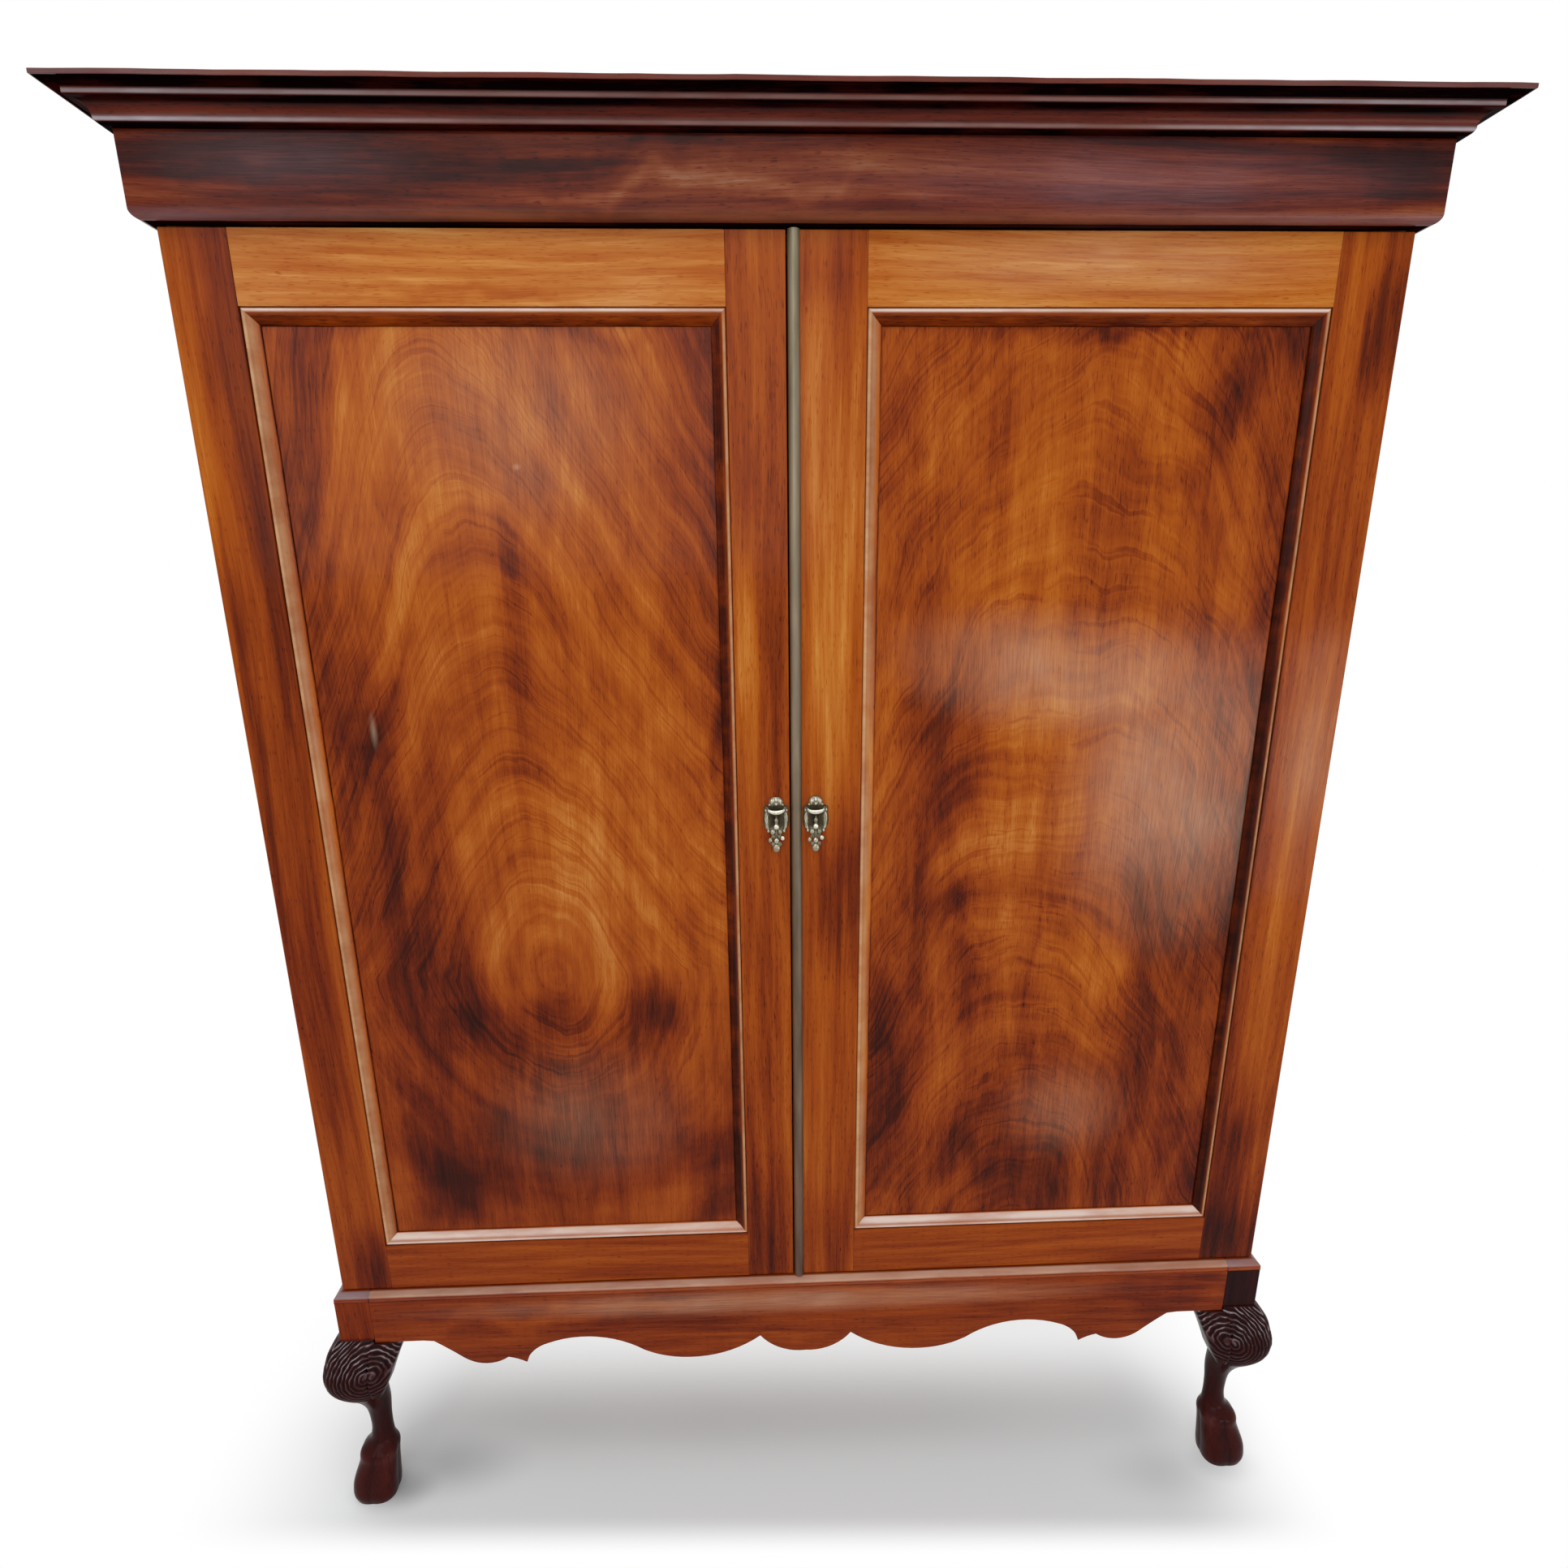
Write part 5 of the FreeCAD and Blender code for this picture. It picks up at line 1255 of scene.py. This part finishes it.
def plate_skin(x):
    """The backplate: rings shrunk from its outline, raised by relief.  The relief is a fan of flutes on the
    crown, a hollow behind the swag, a rib down each side, and leaves at the tail."""
    angles = 2 * pi * np.arange(128) / 128
    inset = np.array([1.0, 1.0, 0.97, 0.92, 0.86, 0.78, 0.69, 0.6, 0.5, 0.4, 0.3, 0.2, 0.1, 0.02])[:, None]
    lift = np.array([0, 0.55, 0.9] + [1.0] * 11)[:, None]
    reach = plate_outline(angles)[None] * inset
    across = reach * np.cos(angles)
    up = reach * np.sin(angles)
    crown_part = step_up(up, 3 * MM, 7 * MM)
    fan = np.abs(np.cos(3.5 * np.arctan2(across, up + 2 * MM)))
    side_rib = bump(np.abs(across), 12.6 * MM, 1.9 * MM) * step_up(4 * MM - up, 0, 5 * MM)
    side_rib *= step_up(up, -30 * MM, -22 * MM)
    leaves = np.abs(np.cos(3.2 * np.arctan2(across, -up - 10 * MM)))
    tail = step_up(-up, 22 * MM, 28 * MM) * (0.4 + 0.6 * leaves)
    hollow = bump(np.hypot(across, (up + 9 * MM) * 0.6), 0, 7 * MM)
    shape = 0.35 + crown_part * (0.35 + 0.55 * fan) + 1.1 * side_rib + 0.7 * tail - 0.3 * hollow
    depth = np.clip(shape, 0.1, 1.6) * 1.9 * MM * lift
    points = np.stack([x + across, door_face - depth, HANDLE_Z + up], -1)
    relief = np.clip(shape * 0.62 + 0.02, 0, 1) * lift
    return tube(points), relief.ravel()


def on_handle(x, across, out, up):
    """Places in millimetres across from a handle's middle, out from the door and up from the swag's ends."""
    places = np.stack(np.broadcast_arrays(across, -np.array(out, float), up), -1)
    return np.array([x, door_face, HANDLE_Z]) + places * MM


def handle_bead(x, across, out, up, radii, value):
    """A bead of a handle, in millimetres, with one relief value for all its points."""
    skin = bead(on_handle(x, across, out, up), np.array(radii) * MM)
    return skin, np.full(len(skin[0]), value)


def handle_rope(x, across, out, up, radii, flat, value):
    """A bar of a handle, in millimetres, with one relief value for all its points."""
    skin = rope(on_handle(x, across, out, up), np.array(radii) * MM, flat)
    return skin, np.full(len(skin[0]), value)


def cast_piece(name, parts, body, node):
    """The parts of a casting as one piece."""
    skins, reliefs = zip(*parts)
    piece(name, joined(skins), handle_brass, body, [node], crease=60,
          relief=np.concatenate(reliefs))


def handle_plate(word, x):
    """The plate with the two ears that carry the swag, scrolls down its sides, a bead at each shoulder, four
    beads on its crown and a fan of five leaves under them."""
    parts = [plate_skin(x)]
    t = np.linspace(0, 1, 24)
    for side in (-1, 1):
        parts.append(handle_bead(x, side * 13.75, AXIS_OUT / 2 + 0.6, 0, (2.2, 5.0, 2.9), 0.75))
        parts.append(handle_rope(x, side * (12.4 + 1.6 * np.sin(pi * t * 1.5)), 2.6, -4 - 24 * t,
                                 1.5 - 0.5 * t, 1.0, 0.8))
        parts.append(handle_bead(x, side * 10.2, 2.4, -29, (2.2, 1.9, 2.2), 0.8))
        parts.append(handle_bead(x, side * 8.6, 2.4, 6.4, (2.0, 1.8, 2.0), 0.7))
    for across, up, half in ((-5.4, 11.6, 2.7), (0.0, 13.2, 2.9), (5.4, 11.6, 2.7), (0.0, 7.6, 2.2)):
        parts.append(handle_bead(x, across, 3.2, up, (half * 0.85, 1.9, half), 0.9))
    for place in (-2, -1, 0, 1, 2):
        lean = radians(place * 24)
        reach = (12.2 - abs(place) * 0.6) * 0.72
        parts.append(handle_bead(x, sin(lean) * reach, 3.0, 4.5 + cos(lean) * reach, (1.7, 1.9, 3.6), 0.85))
    cast_piece(word + "_handle_casting", parts, word + "_door", word + "_handle_plate")


# The beads that hang from a swag: across, up, half width and half height in millimetres, and relief
DROPS = (
    (0, -14.0, 2.6, 3.6, 0.6), (0, -22.5, 3.5, 3.6, 1.0), (-4.8, -29.5, 3.3, 3.4, 0.75),
    (4.8, -29.5, 3.1, 3.2, 0.6), (0, -33.0, 2.6, 4.6, 0.45), (-8.2, -40.5, 2.8, 3.3, 0.7),
    (8.0, -38.0, 2.9, 3.1, 0.95), (0, -41.5, 3.3, 3.8, 0.85), (-4.4, -46.0, 2.9, 3.2, 0.5),
    (4.4, -46.0, 2.9, 3.2, 0.5), (0, -51.5, 4.6, 5.4, 0.7), (-3.6, -36.0, 2.4, 3.0, 0.45),
    (3.6, -36.0, 2.4, 3.0, 0.45),
)


def handle_bail(word, x):
    """The swag between the ears, thick in its middle, and the cluster of beads that hangs from it by a stem
    and two side bars."""
    t = np.linspace(-1, 1, 41)
    sag = 1 - t ** 2
    parts = [handle_rope(x, 10.9 * t, AXIS_OUT, -3.4 * sag, 1.5 + 1.5 * sag, 0.6, 0.95)]
    for across, up, wide, tall, value in DROPS:
        parts.append(handle_bead(x, across, AXIS_OUT, up, (wide, min(wide * 0.8, 1.7), tall), value))
    t = np.linspace(0, 1, 16)
    for side in (-1, 1):
        parts.append(handle_rope(x, side * (0.6 + 6.6 * t), AXIS_OUT, -17 - 22 * t ** 0.8,
                                 1.1 - 0.3 * t, 0.8, 0.55))
        parts.append(handle_bead(x, side * 10.2, AXIS_OUT, 0, (1.5, 1.7, 1.9), 0.9))
    t = np.linspace(0, 1, 20)
    parts.append(handle_rope(x, 0 * t, AXIS_OUT, -8 - 42 * t, 1.1 + 0 * t, 0.8, 0.45))
    cast_piece(word + "_swag_and_drop", parts, word + "_bail", word + "_handle_bail")


for word in ("left", "right"):
    low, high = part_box(word + "_handle_plate")
    handle_plate(word, (low.x + high.x) / 2)
    handle_bail(word, (low.x + high.x) / 2)


# Screws


def screw_head(place, radius, facing, turn):
    """A slotted countersunk head: a low dome of rings, with the points near its middle line pressed in."""
    rings_out = np.array([1.0, 0.98, 0.86, 0.66, 0.44, 0.24, 0.06])[:, None]
    rise = np.array([-0.3, 0.0, 0.12, 0.18, 0.2, 0.21, 0.21])[:, None]
    angles = 2 * pi * np.arange(24) / 24
    across = rings_out * np.cos(angles)
    beside = rings_out * np.sin(angles)
    slot = (np.abs(across * cos(turn) + beside * sin(turn)) < 0.16) * (rings_out < 0.95)
    height = rise - 0.42 * slot
    axis = "xyz".index(facing[1])
    order = {0: (2, 0, 1), 1: (0, 2, 1), 2: (0, 1, 2)}[axis]
    points = (np.stack([across, beside, height], -1) * radius)[..., list(order)]
    points[..., axis] *= -1 if facing[0] == "-" else 1
    return tube(points + np.array(place, float))


def screws(name, body, places, radius, facing, finish):
    """A set of screw heads on one body, their slots turned as they were left."""
    draw = np.random.default_rng(len(name) * 7 + len(places))
    heads = [screw_head(place, radius, facing, draw.uniform(0, pi)) for place in places]
    piece(name, joined(heads), finish, body, crease=30)


HINGE = 96 * MM
BARREL = (HINGE - 0.3 * MM) / 2


def leaf_places(node, y):
    """Three screws down each leaf of a hinge node, which has one leaf near the foot and one near the head of
    a door, on one side of the carcase or on both.  The pins' own box tells how far apart the hinges are."""
    low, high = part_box(node)
    pins_low, pins_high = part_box("hinge_pins")
    feet = [low.z, low.z + (pins_high.z - pins_low.z) - HINGE]
    sides = [-1, 1] if low.x < 0 < high.x else [-1 if high.x < 0 else 1]
    return [(side * (half_carcase - 9 * MM), y, foot + BARREL * share)
            for side in sides for foot in feet for share in (0.2, 0.5, 0.8)]


frame_leaf_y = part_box("carcase_side_left")[0].y
screws("frame_leaf_screws", "carcase", leaf_places("hinge_frame_leaves", frame_leaf_y), 2.6 * MM, "-y",
       hinge_brass)
for word in ("left", "right"):
    screws(word + "_door_leaf_screws", word + "_door", leaf_places(word + "_hinge_door_leaves", door_back),
           2.6 * MM, "+y", hinge_brass)


case_low, case_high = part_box("bolt_cases")
CASE_LENGTH = 76 * MM
ROW_INSET = 21 * MM
case_rows = (case_low.z + ROW_INSET, case_low.z + CASE_LENGTH - ROW_INSET,
             case_high.z - CASE_LENGTH + ROW_INSET, case_high.z - ROW_INSET)
case_columns = (case_low.x + 3.2 * MM, case_high.x - 3.2 * MM)
screws("bolt_case_screws", "left_door", [(x, door_back + 2 * MM, z) for x in case_columns for z in case_rows],
       1.7 * MM, "+y", old_steel)

lock_low, lock_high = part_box("lock_case")
LOCK_INSET = 5 * MM
lock_places = [(x, lock_high.y, z) for x in (lock_low.x + LOCK_INSET, lock_high.x - LOCK_INSET)
               for z in (lock_low.z + LOCK_INSET, lock_high.z - LOCK_INSET)]
screws("lock_case_screws", "right_door", lock_places, 2.2 * MM, "+y", lock_brass)


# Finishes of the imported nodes

BEVEL_WIDTHS = {"board": 0.7 * MM, "metal": 0.3 * MM}
SAME_POINT = 0.01 * MM


def dress(names, finish, edge="board"):
    """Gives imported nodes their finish, and takes the sharpness off their edges with a live bevel over merged
    corners."""
    for name in names:
        packed = nodes[name]
        packed.data.materials.clear()
        packed.data.materials.append(finish)
        weld = packed.modifiers.new("Merged", "WELD")
        weld.merge_threshold = SAME_POINT
        if edge:
            bevel = packed.modifiers.new("Eased", "BEVEL")
            bevel.width = BEVEL_WIDTHS[edge]
            bevel.segments = 2
            bevel.limit_method = "ANGLE"
            bevel.angle_limit = radians(50)


dress(["left_door_panel"], left_veneer)
dress(["right_door_panel"], right_veneer)
dress(["left_door_hinge_stile"], left_hinge_wood)
dress(["left_door_lock_stile"], left_lock_wood)
dress(["right_door_lock_stile"], right_lock_wood)
dress(["right_door_hinge_stile"], right_hinge_wood)
dress(["left_door_top_rail", "right_door_top_rail"], top_rail_wood)
dress(["left_door_bottom_rail", "right_door_bottom_rail"], bottom_rail_wood)
dress(["front_apron"], apron_wood)
dress(["side_rail_left", "side_rail_right"], rail_side_wood)
dress(["back_rail"], back_wood)
dress(["leg_rear_left", "leg_rear_right"], rear_leg_wood, None)
dress(["carcase_side_left", "carcase_side_right"], side_finish)
dress(["carcase_bottom", "carcase_top", "hat_shelf", "hanging_rail"], inner_lying)
dress(["shelf_battens", "glue_blocks"], inner_deep)
dress(["back_panels", "back_muntin", "frieze_back"], back_wood)
dress(["dust_board"], dust_wood)
dress(["hinge_frame_leaves", "left_hinge_door_leaves", "right_hinge_door_leaves", "hinge_pins"],
      hinge_brass, None)
dress(["rail_sockets"], lock_brass, None)
dress(["bolt_cases", "bolt_keepers", "top_bolt", "bottom_bolt"], old_steel, "metal")
dress(["lock_case", "lock_bolt", "lock_strike"], lock_brass, "metal")


# Studio


def add_lamp(name, place, target, width, height, power):
    """A soft rectangular lamp that faces a point: tipped back from straight down, then turned round."""
    data = bpy.data.lights.new(name, "AREA")
    data.shape = "RECTANGLE"
    data.size = width
    data.size_y = height
    data.energy = power
    lamp = bpy.data.objects.new(name, data)
    bpy.context.scene.collection.objects.link(lamp)
    lamp.location = place
    lamp.rotation_mode = "XYZ"
    x, y, z = np.array(place, float) - np.array(target, float)
    lamp.rotation_euler = (float(np.arctan2(np.hypot(x, y), z)), 0.0, float(np.arctan2(x, -y)))


def seen_as_white(material_nodes, links, lit, white, floor_share=None):
    """Camera, mirror and glass rays see the white, by a share if one is given; all others see what is
    lit."""
    path = material_nodes.new("ShaderNodeLightPath")
    share = path.outputs["Is Camera Ray"]
    for ray in ("Is Glossy Ray", "Is Transmission Ray"):
        either = material_nodes.new("ShaderNodeMath")
        either.operation = "MAXIMUM"
        links.new(share, either.inputs[0])
        links.new(path.outputs[ray], either.inputs[1])
        share = either.outputs[0]
    if floor_share is not None:
        part = material_nodes.new("ShaderNodeMath")
        part.operation = "MULTIPLY"
        links.new(share, part.inputs[0])
        links.new(floor_share, part.inputs[1])
        share = part.outputs[0]
    mix = material_nodes.new("ShaderNodeMixShader")
    links.new(share, mix.inputs[0])
    links.new(lit, mix.inputs[1])
    links.new(white, mix.inputs[2])
    return mix.outputs[0]


WHITE = (1.0, 1.0, 1.0, 1.0)
AMBIENT = 0.58


def make_world():
    """Plain light from all round; seen directly it is white."""
    world = bpy.data.worlds.new("studio")
    bpy.context.scene.world = world
    world.use_nodes = True
    world_nodes = world.node_tree.nodes
    links = world.node_tree.links
    world_nodes.clear()
    made = []
    for strength in (AMBIENT, 1.0):
        light = world_nodes.new("ShaderNodeBackground")
        light.inputs[0].default_value = WHITE
        light.inputs[1].default_value = strength
        made.append(light.outputs[0])
    output = world_nodes.new("ShaderNodeOutputWorld")
    links.new(seen_as_white(world_nodes, links, *made), output.inputs[0])


FLOOR_REACH = 14.0
FLOOR_COLOUR = (0.865, 0.885, 0.895)
FLOOR_SLANT = 0.044
# Share of the floor's shadow that is kept, across, 0, and back, 1: from and to where, and the two shares
SHADOW_SPANS = (
    (1, (-0.395, -0.328, 0.0, 1.0)),
    (1, (-0.20, 0.06, 1.0, 0.25)),
    (1, (0.45, 0.90, 1.0, 0.0)),
    (0, (-1.02, -0.58, 0.0, 1.0)),
    (0, (0.56, 0.84, 1.0, 0.0)),
)
# Painted contact shadows by the front feet on the floor: x, y, half width, half depth and how dark
FOOT_SHADOWS = (
    (-0.672, -0.255, 0.085, 0.050, 0.55),
    (-0.600, -0.215, 0.170, 0.075, 0.30),
    (0.702, -0.270, 0.075, 0.048, 0.60),
    (0.610, -0.285, 0.170, 0.070, 0.16),
)


def make_floor():
    """A pale floor that keeps the soft shadow under the wardrobe and turns white away from it: the share of
    the shadow that is kept is the product of shares by place, back over the floor and across it."""
    reach = FLOOR_REACH
    points = [(-reach, -reach, 0), (reach, -reach, 0), (reach, reach, 0), (-reach, reach, 0)]
    mesh = bpy.data.meshes.new("studio_floor")
    mesh.from_pydata(points, [], [[0, 1, 2, 3]])
    floor = bpy.data.objects.new("studio_floor", mesh)
    bpy.context.scene.collection.objects.link(floor)
    finish = Finish("floor_paper")
    shadows = []
    # Painted contact shadows by the front feet
    for x, y, half_width, half_depth, depth in FOOT_SHADOWS:
        spot = finish.ball(finish.place(), (x, y, 0.0), (half_width, half_depth, FAR))
        shadows.append(finish.between(spot, 0.0, 1.0, 1.0, 1.0 - depth))
    colour = finish.vector("SCALE", FLOOR_COLOUR)
    finish.links.new(finish.product(*shadows), colour.node.inputs["Scale"])
    finish.set(Base_Color=colour, Roughness=0.9, IOR=1.2)
    white = finish.add("ShaderNodeEmission", {0: WHITE, 1: 1.0})
    across, back, _ = finish.parts(finish.place())
    back = finish.scaled(across, FLOOR_SLANT, back)
    kept = finish.product(*(finish.between((across, back)[way], *span) for way, span in SHADOW_SPANS))
    shown = seen_as_white(finish.nodes, finish.links, finish.shader.outputs[0], white, finish.less(1.0, kept))
    finish.links.new(shown, finish.nodes["Material Output"].inputs[0])
    mesh.materials.append(finish.material)


def make_camera():
    """The photograph's view: its place, its turn and its lens, fitted to the edges of the doors and the
    cornice; the shift is the part of the frame that was cropped."""
    data = bpy.data.cameras.new("camera")
    camera = bpy.data.objects.new("camera", data)
    bpy.context.scene.collection.objects.link(camera)
    bpy.context.scene.camera = camera
    focal_pixels = 1150.0
    frame_pixels = 1932.0
    centre_row = 1060.0
    data.sensor_width = 36.0
    data.lens = focal_pixels / frame_pixels * data.sensor_width
    data.shift_y = (centre_row - frame_pixels / 2) / frame_pixels
    camera.location = (-0.0714, -1.4429, 1.4136)
    camera.rotation_mode = "XYZ"
    pitch, yaw, roll = radians(16.69), radians(2.17), radians(-0.55)
    ahead = np.array([sin(yaw) * cos(pitch), cos(yaw) * cos(pitch), -sin(pitch)])
    level = np.array([cos(yaw), -sin(yaw), 0.0])
    above = np.cross(level, ahead)
    right = level * cos(roll) + above * sin(roll)
    up = above * cos(roll) - level * sin(roll)
    camera.rotation_euler = Matrix(np.stack([right, up, -ahead], -1).tolist()).to_euler("XYZ")
    data.clip_start = 0.05
    data.clip_end = 60.0


make_world()
make_floor()
make_camera()
add_lamp("key", (-1.0, -4.2, 2.5), (0.0, 0.0, 1.1), 3.0, 2.2, 42)
add_lamp("overhead", (-0.6, -1.6, 3.8), (0.0, -0.2, 1.0), 2.6, 1.6, 30)
add_lamp("low_right", (2.1, -3.0, 0.62), (0.3, -0.2, 0.9), 1.3, 1.1, 15)

bpy.context.scene.view_settings.view_transform = "Standard"
